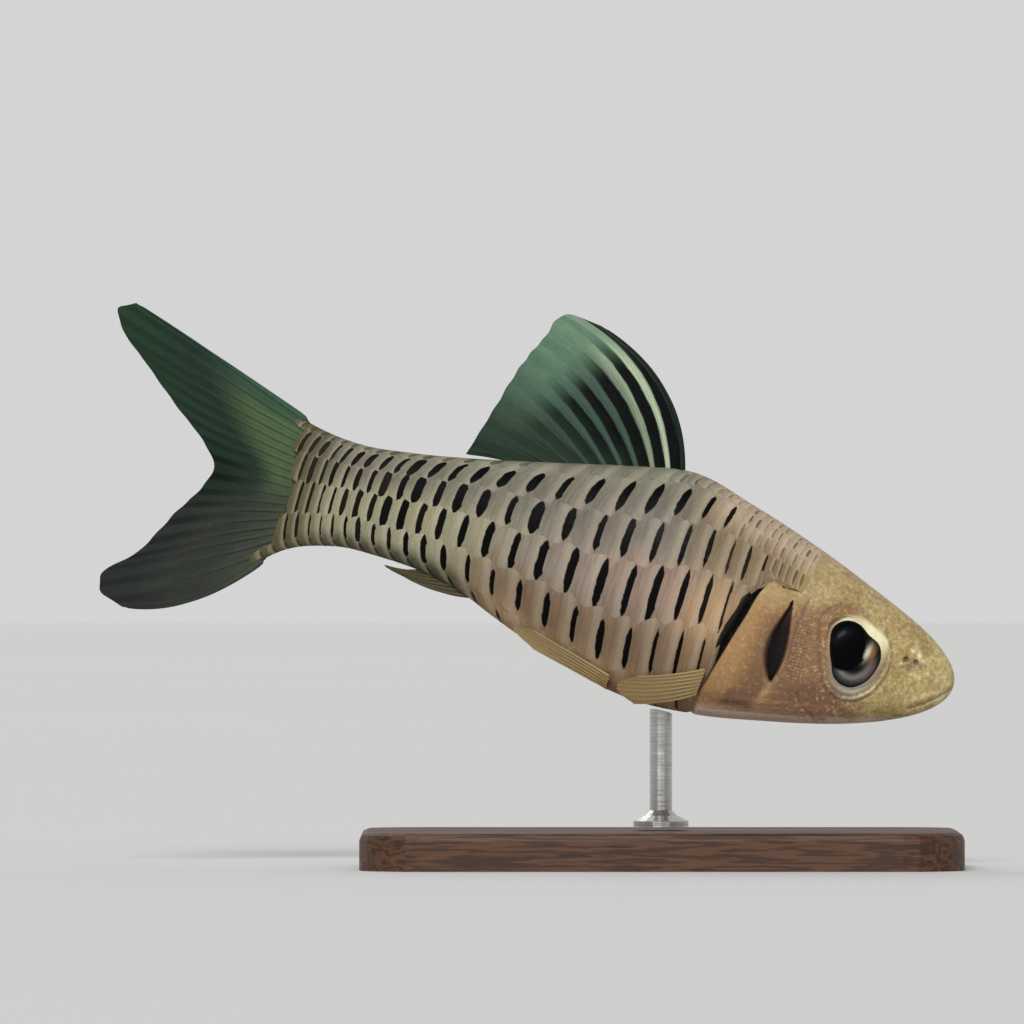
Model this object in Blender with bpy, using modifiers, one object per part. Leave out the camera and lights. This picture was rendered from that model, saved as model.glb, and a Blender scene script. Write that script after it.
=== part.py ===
"""A small barb, Oreichthys cosuatis, as a still, life-size display model on a rod and base.

The fish hangs in mid water with its head a little down and its tail swinging to its own left.
It is first shaped straight, along its own axis: a place s runs from 0 at the snout tip to 1 at
the base of the tail fin, a height h is counted up from the axis, and both are fractions of the
standard length. Sideways distances y are metres, positive to the fish's left. The swimming bend
is then given to each mesh, and one empty carries the pitch and the height over the base.
Metres, +Z up, the head towards +X. The origin is the middle of the base's underside.
"""
import math

import bmesh
import bpy
import numpy as np

# Driving sizes
STANDARD_LENGTH = 0.055
HEAD_DOWN = math.radians(16.36)
BEND = 0.22
BEND_START = 0.35
PLACE_OVER_ORIGIN = 0.445
BELLY_OVER_BASE = 0.0085
GAP = 0.0003

# The body's outline: place, back, belly as fractions of the standard length, half width in metres
BODY_STATIONS = (
    (0.000, -0.008, -0.008, 0.00000),   # snout tip
    (0.050, 0.051, -0.068, 0.00205),    # lips and nostrils
    (0.150, 0.095, -0.109, 0.00350),    # eye
    (0.250, 0.132, -0.134, 0.00425),    # cheek and nape
    (0.350, 0.162, -0.153, 0.00455),    # gill opening
    (0.450, 0.184, -0.158, 0.00445),    # front of the dorsal fin
    (0.550, 0.165, -0.139, 0.00380),    # middle of the dorsal fin
    (0.650, 0.140, -0.107, 0.00310),    # behind the belly
    (0.750, 0.116, -0.072, 0.00240),    # over the anal fin
    (0.850, 0.096, -0.063, 0.00180),    # narrowest of the tail stalk
    (0.925, 0.087, -0.068, 0.00135),
    (1.000, 0.095, -0.101, 0.00088),    # base of the tail fin
    (1.040, 0.106, -0.142, 0.00070),
)
WIDEST_HEIGHT = 0.52                    # share of the depth at which the body is widest
HEAD_SQUARENESS = 2.45                  # power of the section's curve; 2 is an ellipse
TAIL_SQUARENESS = 1.95
POINTS_ROUND = 32
HEAD_ROWS = 22
HEAD_CROWDING = 1.8                     # how much closer the head's rows stand at the snout
TRUNK_ROWS = 17
STALK_ROWS = 9
EDGE_PASSES = 16                        # passes that settle a piece's edge on the curved skin

# Where the pieces part
GILL_LINE = ((-0.17, 0.352), (-0.10, 0.346), (-0.05, 0.334), (0.00, 0.320), (0.059, 0.300),
             (0.09, 0.272), (0.135, 0.250), (0.19, 0.235))     # height, place
STALK_FRONT = 0.790
TAIL_BASE = 0.993
TAIL_BASE_HOLLOW = 0.018                # how far its corners reach back beside its middle
TAIL_BASE_HALF_DEPTH = 0.10
CUTTER_ROWS = 24
CUTTER_HALF_WIDTH = 0.010
FINS_STAND_ON = (0.36, 0.92)            # stretch of the body that the dorsal and anal fins clear
ROD_STANDS_UNDER = (0.20, 0.70)         # stretch of the body that the rod clears

# Head
EYE_PLACE = 0.1515
EYE_HEIGHT = -0.0035
EYE_RADIUS = 0.00275
EYE_HALF_THICKNESS = 0.0016
EYE_STANDS_OUT = 0.00055
ORBIT_RIM_RADIUS = 0.00315
ORBIT_RIM_THICKNESS = 0.00022
ORBIT_RIM_SINK = 0.3                    # share of the rim's radius that lies under the skin
ORBIT_RIM_POINTS = 24
MOUTH_CORNER = (0.055, -0.058)
MOUTH_FRONT_HEIGHT = -0.011
MOUTH_DROOP = 0.35                      # how much faster the mouth's line falls at its front
JAW_REAR = ((0.078, -0.084), (0.098, -0.140))
JAW_CUT_AHEAD = -0.03                   # where the jaw's cut starts, clear of the snout
LIP_THICKNESS = 0.00030
LIP_SINK = 0.2
LIP_TAPER = 0.55                        # how much thinner a lip is at the corners of the mouth
LIP_POINTS = 19
NOSTRIL_PLACE = 0.071
NOSTRIL_HEIGHT = 0.010
NOSTRIL_RADIUS = 0.00032
NOSTRIL_SPREAD = 0.0080                 # from the middle of the flap to each of its two holes
NOSTRIL_FLAP_SIZE = (0.00016, 0.00035, 0.00042)
NOSTRIL_FLAP_RISE = 0.003
GILL_COVER_THICKNESS = 0.0006
GILL_COVER_RAISE = 0.00025
GILL_COVER_FRONT = (0.272, 0.268)       # place at its top and bottom
GILL_COVER_TOP = (0.046, 0.068)         # height at its front and rear
GILL_COVER_BOTTOM = (-0.106, -0.124)
GILL_COVER_GRID = (8, 13)
GILL_COVER_REAR_GAP = 0.004             # from its rear edge to the gill line
GILL_COVER_ROUNDS = (0.1, 0.8)          # where its bulge starts and how far down it runs
GILL_POCKET_OVERSHOOT = 0.002           # how far the pocket's cutter stands out of the cheek
CHEEK_GROOVE_PLACE = 0.257
CHEEK_GROOVE_HEIGHT = -0.022
CHEEK_GROOVE_SIZE = (0.0008, 0.0007, 0.0034)

# Fins
MEMBRANE = 0.0005
FIN_ROOT = 0.0011
FIN_TIP = 0.0003
RAY_RIDGE = 0.00016
PAIRED_RAY_RIDGE = 0.00010
RAY_SHARE = 0.24                        # half width of a ray beside the space between two rays
RAY_NOTCH = 0.015                       # how much shorter the membrane is than the rays
ROOT_SINK = 0.022                       # how deep the roots start before the body's cut
FIN_ROOT_SHARE = 0.22                   # shares of a ray where the root ends and the tip starts
FIN_TIP_SHARE = 0.85
TAIL_FIN_ROOT = 0.0012
FIN_ROWS = 9
TAIL_FIN_ROWS = 10
PAIRED_FIN_ROWS = 6
DORSAL_SWAY = 0.0012                    # how far each fin's rear tip swings to the left
ANAL_SWAY = 0.0002
UPPER_TAIL_SWAY = 0.0009
LOWER_TAIL_SWAY = -0.0006
FRONT_RAY_SWAY = 0.4                    # share of the sway that a fin's first ray takes

# Each fin's leading rays: ray number, root place and height, the height and place that its
# curve leans towards, tip place and height. The rays between are read from a smooth curve.
DORSAL_RAYS = (
    (0, 0.462, 0.184, 0.488, 0.307, 0.640, 0.3505),
    (1, 0.480, 0.181, 0.530, 0.320, 0.688, 0.354),
    (3, 0.520, 0.172, 0.590, 0.270, 0.717, 0.308),
    (5, 0.560, 0.162, 0.630, 0.218, 0.739, 0.258),
    (7, 0.600, 0.152, 0.668, 0.168, 0.758, 0.190),
    (9, 0.640, 0.142, 0.706, 0.136, 0.779, 0.121),
)
ANAL_RAYS = (
    (0, 0.688, -0.094, 0.745, -0.094, 0.815, -0.0790),
    (2, 0.712, -0.085, 0.770, -0.086, 0.836, -0.0755),
    (5, 0.752, -0.072, 0.795, -0.075, 0.845, -0.0720),
)
UPPER_TAIL_RAYS = (
    (0, 1.011, 0.0970, 1.185, 0.158, 1.303, 0.1930),
    (1, 1.008, 0.0860, 1.175, 0.133, 1.328, 0.1790),
    (2, 1.004, 0.0750, 1.170, 0.112, 1.317, 0.1540),
    (4, 0.998, 0.0530, 1.140, 0.073, 1.270, 0.1130),
    (6, 0.995, 0.0320, 1.105, 0.040, 1.208, 0.0640),
    (8, 0.993, 0.0110, 1.065, 0.013, 1.148, 0.0210),
    (9, 0.993, 0.0035, 1.060, 0.002, 1.125, -0.0005),
)
LOWER_TAIL_RAYS = (
    (0, 0.993, -0.0035, 1.060, -0.005, 1.124, -0.0080),
    (1, 0.993, -0.0130, 1.062, -0.019, 1.128, -0.0330),
    (3, 0.996, -0.0340, 1.072, -0.052, 1.155, -0.0870),
    (5, 1.000, -0.0560, 1.080, -0.089, 1.190, -0.1550),
    (7, 1.006, -0.0780, 1.092, -0.140, 1.234, -0.2040),
    (8, 1.010, -0.0920, 1.098, -0.175, 1.226, -0.2280),
    (9, 1.017, -0.1130, 1.095, -0.226, 1.190, -0.2390),
)
# The paired fins lie on the body: ray number, then place and angle round the section in degrees
# (0 at the back, 180 at the belly) for the root, the lean and the tip
PECTORAL_RAYS = (
    (0, 0.353, 122, 0.392, 131, 0.446, 138),
    (2, 0.354, 127, 0.396, 137, 0.462, 145),
    (4, 0.355, 132, 0.394, 143, 0.464, 152),
    (7, 0.356, 140, 0.380, 150, 0.436, 160),
)
PELVIC_RAYS = (
    (0, 0.478, 148, 0.530, 143, 0.606, 141),
    (2, 0.480, 153, 0.535, 148, 0.628, 147),
    (3, 0.480, 156, 0.535, 151, 0.626, 151),
    (5, 0.478, 161, 0.520, 158, 0.592, 157),
)
PAIRED_FIN_SPREAD = 0.0005
SKIN_STEP = 0.01                        # radians between the points that give the skin's slope

# Stand
BASE_SIZE = (0.048, 0.030, 0.003)
BASE_CORNER = 0.005
BASE_EDGE = 0.0006
BASE_CORNER_SEGMENTS = 6
BASE_EDGE_SEGMENTS = 2
ROD_RADIUS = 0.0009
ROD_SIDES = 20
ROD_OVERSHOOT = 0.006                   # how far the rod runs on before the belly cuts it
FOOT_RADIUS = 0.0022
FOOT_HEIGHT = 0.0009
FOOT_COLLAR = 0.0004

COLORS = {
    "head": (0.42, 0.33, 0.19), "flank": (0.48, 0.42, 0.33), "gill_cover": (0.50, 0.33, 0.19),
    "fin": (0.05, 0.16, 0.12), "eye": (0.02, 0.02, 0.02), "pale_fin": (0.55, 0.47, 0.28),
    "base": (0.10, 0.06, 0.035), "rod": (0.62, 0.62, 0.62),
}


def smooth_through(x, points):
    """A smooth curve read at x: a cubic between neighbouring points, the mean slope at each."""
    table = np.asarray(points, float)
    knots, values = table[:, 0], table[:, 1:]
    slopes = np.gradient(values, knots, axis=0)
    x = np.asarray(x, float)
    span = np.clip(np.searchsorted(knots, x, side="right") - 1, 0, len(knots) - 2)
    width = (knots[span + 1] - knots[span])[..., None]
    t = (x[..., None] - knots[span][..., None]) / width
    return ((2 * t**3 - 3 * t**2 + 1) * values[span] + (t**3 - 2 * t**2 + t) * width * slopes[span]
            + (3 * t**2 - 2 * t**3) * values[span + 1] + (t**3 - t**2) * width * slopes[span + 1])


def body_form(s):
    """Back, belly and half width at places s. The root of s is the curve's own parameter, so
    that the snout closes in a round end."""
    roots = [(math.sqrt(row[0]),) + row[1:] for row in BODY_STATIONS]
    form = smooth_through(np.sqrt(np.clip(s, 0.0, None)), roots)
    return form[..., 0], form[..., 1], form[..., 2]


def squareness(s):
    """The power of the section's curve, from the head to the tail."""
    return HEAD_SQUARENESS + (TAIL_SQUARENESS - HEAD_SQUARENESS) * np.clip(s, 0.0, 1.0)


def skin(s, angle, grow=0.0):
    """Sideways distance in metres and height of the skin at an angle round the section, counted
    from the back down the right flank."""
    back, belly, half_width = body_form(s)
    widest = belly + WIDEST_HEIGHT * (back - belly)
    reach = np.where(np.cos(angle) >= 0.0, back - widest, widest - belly) + grow / STANDARD_LENGTH
    power = 2.0 / squareness(s)
    height = widest + reach * np.sign(np.cos(angle)) * np.abs(np.cos(angle)) ** power
    side = -(half_width + grow) * np.sign(np.sin(angle)) * np.abs(np.sin(angle)) ** power
    return side, height


def flank(s, h):
    """Half width of the body in metres at a place and a height."""
    back, belly, half_width = body_form(s)
    widest = belly + WIDEST_HEIGHT * (back - belly)
    reach = np.maximum(np.where(h >= widest, back - widest, widest - belly), 1e-9)
    power = squareness(s)
    ratio = np.clip(np.abs(h - widest) / reach, 0.0, 1.0)
    return half_width * (1.0 - ratio**power) ** (1.0 / power)


def gill_line(h):
    """Place of the gill cover's rear edge at a height."""
    return smooth_through(np.clip(h, GILL_LINE[0][0], GILL_LINE[-1][0]), GILL_LINE)[..., 0]


def tail_base_line(h):
    """Place where the scaled stalk ends and the tail fin starts, hollow in the middle."""
    return TAIL_BASE + TAIL_BASE_HOLLOW * (h / TAIL_BASE_HALF_DEPTH) ** 2


def local(s, y, h):
    """Points in metres, before the bend, from place, sideways distance and height."""
    s, y, h = np.broadcast_arrays(s, y, h)
    return np.stack((-s * STANDARD_LENGTH, y, h * STANDARD_LENGTH), axis=-1)


def new_object(name, points, faces, collection):
    """A mesh object from points and faces, with its faces turned outwards."""
    mesh = bpy.data.meshes.new(name)
    mesh.from_pydata(np.asarray(points, float).reshape(-1, 3).tolist(), [], faces)
    obj = bpy.data.objects.new(name, mesh)
    collection.objects.link(obj)
    clean(obj)
    return obj


def clean(obj):
    """Merge doubles and turn the faces outwards."""
    form = bmesh.new()
    form.from_mesh(obj.data)
    bmesh.ops.remove_doubles(form, verts=form.verts, dist=1e-7)
    bmesh.ops.recalc_face_normals(form, faces=form.faces)
    form.to_mesh(obj.data)
    form.free()


def keep_largest(obj):
    """Drop every loose scrap but the largest closed surface."""
    form = bmesh.new()
    form.from_mesh(obj.data)
    unseen = set(form.verts)
    shells = []
    while unseen:
        shell = set()
        todo = [next(iter(unseen))]
        while todo:
            vert = todo.pop()
            if vert in shell:
                continue
            shell.add(vert)
            todo.extend(edge.other_vert(vert) for edge in vert.link_edges)
        unseen -= shell
        shells.append(shell)
    shells.sort(key=len)
    for shell in shells[:-1]:
        bmesh.ops.delete(form, geom=list(shell), context="VERTS")
    form.to_mesh(obj.data)
    form.free()


def combine(target, tools, operation, solver="EXACT"):
    """Join, cut or intersect the target with closed tools, apply it and remove the tools."""
    group = bpy.data.collections.new(target.name + "_tools")
    bpy.context.scene.collection.children.link(group)
    for tool in tools:
        for home in list(tool.users_collection):
            home.objects.unlink(tool)
        group.objects.link(tool)
        tool.hide_render = True
        tool.display_type = "WIRE"
    modifier = target.modifiers.new(operation.lower(), "BOOLEAN")
    modifier.operation = operation
    modifier.solver = solver
    modifier.operand_type = "COLLECTION"
    modifier.collection = group
    bpy.context.view_layer.update()
    result = bpy.data.meshes.new_from_object(
        target.evaluated_get(bpy.context.evaluated_depsgraph_get()))
    target.modifiers.remove(modifier)
    old = target.data
    target.data = result
    bpy.data.meshes.remove(old)
    for tool in list(group.objects):
        bpy.data.objects.remove(tool)
    bpy.data.collections.remove(group)
    clean(target)
    keep_largest(target)


def ladder_cap(ring):
    """Faces that close a ring whose points mirror each other, rung by rung."""
    count = len(ring)
    half = count // 2
    faces = [(ring[0], ring[1], ring[-1]), (ring[half - 1], ring[half], ring[half + 1])]
    faces += [(ring[k], ring[k + 1], ring[count - k - 1], ring[count - k])
              for k in range(1, half - 1)]
    return faces


def straight_edge(place):
    """An edge that stands at one place at every height."""
    return lambda h: np.full_like(h, place)


def body_piece(name, front, rear, rows, collection, grow=0.0, crowd=1.0):
    """A length of the body between two edges, each a function from height to place. With no
    front edge it closes in the snout. Rows crowd to the front when crowd is over 1."""
    angle = np.linspace(0.0, 2.0 * math.pi, POINTS_ROUND, endpoint=False)
    share = np.linspace(0.0, 1.0, rows)[:, None] ** crowd
    s = np.broadcast_to(share * 0.5, (rows, POINTS_ROUND)).copy()
    for _ in range(EDGE_PASSES):
        height = skin(s, angle, grow)[1]
        start = front(height) if front else 0.0
        s = start + (rear(height) - start) * share
    side, height = skin(s, angle, grow)
    points = local(s, side, height)
    index = np.arange(rows * POINTS_ROUND).reshape(rows, POINTS_ROUND)
    turned = np.roll(index, -1, axis=1)
    quads = np.stack((index[:-1], turned[:-1], turned[1:], index[1:]), axis=-1).reshape(-1, 4)
    faces = quads.tolist() + ladder_cap(index[-1].tolist())
    if front:
        faces += ladder_cap(index[0].tolist())
    return new_object(name, points, faces, collection)


def prism(name, outline, half_depth, collection):
    """A flat outline of places and heights, carried straight through from side to side."""
    outline = np.asarray(outline, float)
    count = len(outline)
    points = np.concatenate([local(outline[:, 0], side, outline[:, 1])
                             for side in (-half_depth, half_depth)])
    faces = [list(range(count)), list(range(2 * count - 1, count - 1, -1))]
    faces += [(k, (k + 1) % count, (k + 1) % count + count, k + count) for k in range(count)]
    return new_object(name, points, faces, collection)


def blade(name, middle, direction, half, collection):
    """A thin closed blade on a grid of points, split into triangles alike on both faces."""
    columns, rows = middle.shape[:2]
    count = columns * rows
    offset = np.broadcast_to(direction, middle.shape) * half[..., None]
    points = np.concatenate(((middle + offset).reshape(-1, 3), (middle - offset).reshape(-1, 3)))
    index = np.arange(count).reshape(columns, rows)
    low, right, far, up = index[:-1, :-1], index[1:, :-1], index[1:, 1:], index[:-1, 1:]
    front = np.concatenate((np.stack((low, right, far), -1).reshape(-1, 3),
                            np.stack((low, far, up), -1).reshape(-1, 3)))
    rim = np.concatenate((index[:, 0], index[-1, 1:], index[-2::-1, -1], index[0, -2:0:-1]))
    after = np.roll(rim, -1)
    edge = np.concatenate((np.stack((after, rim, rim + count), -1),
                           np.stack((after, rim + count, after + count), -1)))
    faces = np.concatenate((front, front[:, ::-1] + count, edge))
    return new_object(name, points, faces.tolist(), collection)


def tube(name, points, radii, collection, closed=False):
    """A round bar along points in metres, as a mesh."""
    curve = bpy.data.curves.new(name, "CURVE")
    curve.dimensions = "3D"
    curve.bevel_depth = 1.0
    curve.bevel_resolution = 2
    curve.use_fill_caps = not closed
    spline = curve.splines.new("POLY")
    spline.points.add(len(points) - 1)
    spline.use_cyclic_u = closed
    for knot, place, radius in zip(spline.points, points, radii):
        knot.co = (*place, 1.0)
        knot.radius = radius
    bar = bpy.data.objects.new(name + "_path", curve)
    collection.objects.link(bar)
    bpy.context.view_layer.update()
    mesh = bpy.data.meshes.new_from_object(bar.evaluated_get(bpy.context.evaluated_depsgraph_get()))
    bpy.data.objects.remove(bar)
    obj = bpy.data.objects.new(name, mesh)
    collection.objects.link(obj)
    clean(obj)
    return obj


def ball(name, centre, size, collection, segments=16, rings=10):
    """A ball stretched to three half sizes, its poles towards the fish's two sides."""
    form = bmesh.new()
    bmesh.ops.create_uvsphere(form, u_segments=segments, v_segments=rings, radius=1.0)
    obj = bpy.data.objects.new(name, bpy.data.meshes.new(name))
    for vert in form.verts:
        x, y, z = vert.co
        vert.co = (centre[0] + x * size[0], centre[1] + z * size[1], centre[2] + y * size[2])
    form.to_mesh(obj.data)
    form.free()
    collection.objects.link(obj)
    clean(obj)
    return obj


def fan_rays(keys, column, along):
    """Points on the rays of a fin: each ray is a curve from its root to its tip, drawn towards
    its lean. Column is the ray's number, along runs from 0 at the root to 1 at the tip."""
    shape = smooth_through(column, keys)[:, None, :]
    t = np.asarray(along)[..., None]
    return ((1 - t) ** 2 * shape[..., 0:2] + 2 * t * (1 - t) * shape[..., 2:4]
            + t**2 * shape[..., 4:6])


def ray_columns(last):
    """Three grid lines to each ray: its crest and the two foots of its ridge."""
    steps = [number + part for number in range(last) for part in (0.0, RAY_SHARE, 1.0 - RAY_SHARE)]
    return np.array(steps + [float(last)])


def fin_grid(keys, rows, root=FIN_ROOT, ray_ridge=RAY_RIDGE):
    """Flat coordinates and half thickness of a rayed fin, with a ridge along each ray."""
    column = ray_columns(int(keys[-1][0]))
    on_ray = np.isclose(column, np.round(column))
    end = np.where(on_ray, 1.0, 1.0 - RAY_NOTCH)
    along = np.linspace(0.0, 1.0, rows)[None, :] * end[:, None]
    flat = fan_rays(keys, column, along)
    thick = np.interp(along, (0.0, FIN_ROOT_SHARE, FIN_TIP_SHARE, 1.0),
                      (root, MEMBRANE, MEMBRANE, FIN_TIP))
    ridge = np.where(on_ray[:, None], ray_ridge * (1.0 - 0.5 * along), 0.0)
    return flat, 0.5 * thick + ridge, along


def standing_fin(name, keys, rows, sway, collection, root=FIN_ROOT):
    """A fin in the fish's middle plane that sways to the left by up to sway metres."""
    flat, half, along = fin_grid(keys, rows, root)
    column = np.linspace(0.0, 1.0, len(flat))[:, None]
    side = sway * along**2 * (FRONT_RAY_SWAY + (1.0 - FRONT_RAY_SWAY) * column)
    middle = local(flat[..., 0], side, flat[..., 1])
    return blade(name, middle, np.array((0.0, 1.0, 0.0)), half, collection)


def lying_fin(name, keys, rows, side, collection):
    """A paired fin that lies back along the body and spreads a little towards its tip. Side is
    1 for the right fin and -1 for its mirror image on the left."""
    flat, half, along = fin_grid(keys, rows, MEMBRANE, PAIRED_RAY_RIDGE)
    s, angle = flat[..., 0], np.radians(flat[..., 1])
    y, h = skin(s, angle)
    ahead, behind = skin(s, angle + SKIN_STEP), skin(s, angle - SKIN_STEP)
    out_y = -(ahead[1] - behind[1]) * STANDARD_LENGTH
    out_z = ahead[0] - behind[0]
    size = np.hypot(out_y, out_z)
    turn = np.sign(y * out_y)
    out = np.stack((np.zeros_like(y), turn * out_y / size, turn * out_z / size), axis=-1)
    lift = GAP + half + PAIRED_FIN_SPREAD * along**2
    middle = local(s, y, h) + out * lift[..., None]
    flip = np.array((1.0, side, 1.0))
    return blade(name, middle * flip, out * flip, half, collection)


def swim_bend(mesh):
    """Swing everything behind the bend's start to the fish's left, along a curve whose distance
    from the axis grows with the square of the place; sections stay square to it."""
    count = len(mesh.vertices)
    points = np.empty(count * 3)
    mesh.vertices.foreach_get("co", points)
    points = points.reshape(-1, 3)
    behind = np.maximum(-points[:, 0] / STANDARD_LENGTH - BEND_START, 0.0)
    slope = 2.0 * BEND * behind
    length = np.sqrt(1.0 + slope**2)
    side = points[:, 1].copy()
    points[:, 0] += side * slope / length
    points[:, 1] = BEND * STANDARD_LENGTH * behind**2 + side / length
    mesh.vertices.foreach_set("co", points.ravel())
    mesh.update()


def mouth_height(s):
    """Height of the mouth's line from its front to its corner."""
    share = np.clip(s / MOUTH_CORNER[0], 0.0, 1.0)
    fall = share * (1.0 + MOUTH_DROOP * (1.0 - share))
    return MOUTH_FRONT_HEIGHT + (MOUTH_CORNER[1] - MOUTH_FRONT_HEIGHT) * fall


def jaw_outline(shrink):
    """The lower jaw's outline in places and heights: the mouth's line above, its hinge behind."""
    places = np.linspace(0.0, MOUTH_CORNER[0], 7)
    line = [(s, mouth_height(s) - shrink) for s in places]
    front = [(JAW_CUT_AHEAD, MOUTH_FRONT_HEIGHT - shrink)]
    rear = [(s - shrink, h) for s, h in JAW_REAR]
    return front + line + rear + [(JAW_CUT_AHEAD, JAW_REAR[-1][1])]


def lip(name, rise, collection):
    """A lip: a bar half sunk in the skin, from one corner of the mouth round its front."""
    turn = np.linspace(-1.0, 1.0, LIP_POINTS)
    places = np.linspace(0.0, 0.5 * MOUTH_CORNER[0], 201)
    front = places[np.argmax(body_form(places)[1] < mouth_height(places) + rise)]
    s = front + (MOUTH_CORNER[0] - front) * turn**2
    h = mouth_height(s) + rise
    points = local(s, np.sign(turn) * (flank(s, h) - LIP_SINK * LIP_THICKNESS), h)
    radii = LIP_THICKNESS * (1.0 - LIP_TAPER * np.abs(turn) ** 3)
    return tube(name, points, radii, collection)


def gill_cover_grid(side, grow, collection, name):
    """The gill cover as a plate on the cheek's skin, or with grow the pocket that it lies in."""
    columns, rows = GILL_COVER_GRID
    across = np.linspace(0.0, 1.0, columns)[:, None]
    down = np.linspace(0.0, 1.0, rows)[None, :]
    spare = grow / STANDARD_LENGTH
    arch = across * (2.0 - across)
    top = GILL_COVER_TOP[0] + (GILL_COVER_TOP[1] - GILL_COVER_TOP[0]) * arch + spare
    bottom = GILL_COVER_BOTTOM[0] + (GILL_COVER_BOTTOM[1] - GILL_COVER_BOTTOM[0]) * arch - spare
    h = top + (bottom - top) * down
    front = GILL_COVER_FRONT[0] + (GILL_COVER_FRONT[1] - GILL_COVER_FRONT[0]) * down - spare
    rear = gill_line(h) + (GILL_COVER_REAR_GAP * 2.0 if grow else -GILL_COVER_REAR_GAP)
    s = front + (rear - front) * across
    bulge = np.sin(math.pi * (GILL_COVER_ROUNDS[0] + GILL_COVER_ROUNDS[1] * down))
    outer = flank(s, h) + GILL_COVER_RAISE * across * bulge
    inner = outer - GILL_COVER_THICKNESS - grow
    outer = outer + (GILL_POCKET_OVERSHOOT if grow else 0.0)
    middle = local(s, -side * 0.5 * (inner + outer), h)
    return blade(name, middle, np.array((0.0, 1.0, 0.0)), 0.5 * (outer - inner), collection)


def eye_centre(side):
    """Centre of an eye, set so that its front stands out of the cheek by a fixed amount."""
    reach = flank(EYE_PLACE, EYE_HEIGHT) + EYE_STANDS_OUT - EYE_HALF_THICKNESS
    return local(EYE_PLACE, -side * float(reach), EYE_HEIGHT)


def orbit_rim(side, collection):
    """The fold of skin round an eye, a closed ring half sunk in the cheek."""
    turn = np.linspace(0.0, 2.0 * math.pi, ORBIT_RIM_POINTS, endpoint=False)
    radius = ORBIT_RIM_RADIUS / STANDARD_LENGTH
    s, h = EYE_PLACE + radius * np.cos(turn), EYE_HEIGHT + radius * np.sin(turn)
    points = local(s, -side * (flank(s, h) - ORBIT_RIM_SINK * ORBIT_RIM_THICKNESS), h)
    radii = np.full(ORBIT_RIM_POINTS, ORBIT_RIM_THICKNESS)
    return tube("orbit_rim", points, radii, collection, closed=True)


def head_pieces(fish, work):
    """Head with sockets, nostrils, lips and gill pockets, the lower jaw, gill covers and eyes."""
    half_gap = 0.5 * GAP / STANDARD_LENGTH
    head = body_piece("head", None, lambda h: gill_line(h) - half_gap, HEAD_ROWS, fish,
                      crowd=HEAD_CROWDING)
    jaw = head.copy()
    jaw.data = head.data.copy()
    jaw.name = "lower_jaw"
    fish.objects.link(jaw)
    combine(jaw, [prism("jaw_form", jaw_outline(half_gap), CUTTER_HALF_WIDTH, work)], "INTERSECT")
    rise = half_gap + LIP_THICKNESS / STANDARD_LENGTH
    combine(jaw, [lip("lower_lip", -rise, work)], "UNION", "MANIFOLD")
    cuts = [prism("jaw_space", jaw_outline(-half_gap), CUTTER_HALF_WIDTH, work)]
    raised = [lip("upper_lip", rise, work)]
    size = (EYE_RADIUS + GAP, EYE_HALF_THICKNESS + GAP, EYE_RADIUS + GAP)
    for side, hand in ((1, "right"), (-1, "left")):
        ball("eye_" + hand, eye_centre(side), (EYE_RADIUS, EYE_HALF_THICKNESS, EYE_RADIUS), fish,
             20, 12)
        cuts.append(ball("socket", eye_centre(side), size, work, 20, 12))
        raised.append(orbit_rim(side, work))
        for step in (-1, 1):
            place = NOSTRIL_PLACE + step * NOSTRIL_SPREAD
            out = float(flank(place, NOSTRIL_HEIGHT))
            centre = local(place, -side * out, NOSTRIL_HEIGHT)
            cuts.append(ball("nostril", centre, (NOSTRIL_RADIUS,) * 3, work, 10, 6))
        out = float(flank(NOSTRIL_PLACE, NOSTRIL_HEIGHT))
        centre = local(NOSTRIL_PLACE, -side * out, NOSTRIL_HEIGHT + NOSTRIL_FLAP_RISE)
        raised.append(ball("nostril_flap", centre, NOSTRIL_FLAP_SIZE, work, 10, 6))
        gill_cover_grid(side, 0.0, fish, "gill_cover_" + hand)
        cuts.append(gill_cover_grid(side, GAP, work, "gill_pocket"))
        out = float(flank(CHEEK_GROOVE_PLACE, CHEEK_GROOVE_HEIGHT))
        groove = local(CHEEK_GROOVE_PLACE, -side * out, CHEEK_GROOVE_HEIGHT)
        cuts.append(ball("cheek_groove", groove, CHEEK_GROOVE_SIZE, work, 12, 8))
    combine(head, raised, "UNION", "MANIFOLD")
    combine(head, cuts, "DIFFERENCE", "MANIFOLD")


def trunk_pieces(fish):
    """The trunk from the gills to the anal fin, and the tail stalk."""
    half_gap = 0.5 * GAP / STANDARD_LENGTH
    body_piece("trunk", lambda h: gill_line(h) + half_gap, straight_edge(STALK_FRONT - half_gap),
               TRUNK_ROWS, fish)
    body_piece("tail_stalk", straight_edge(STALK_FRONT + half_gap),
               lambda h: tail_base_line(h) - half_gap, STALK_ROWS, fish)


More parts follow.
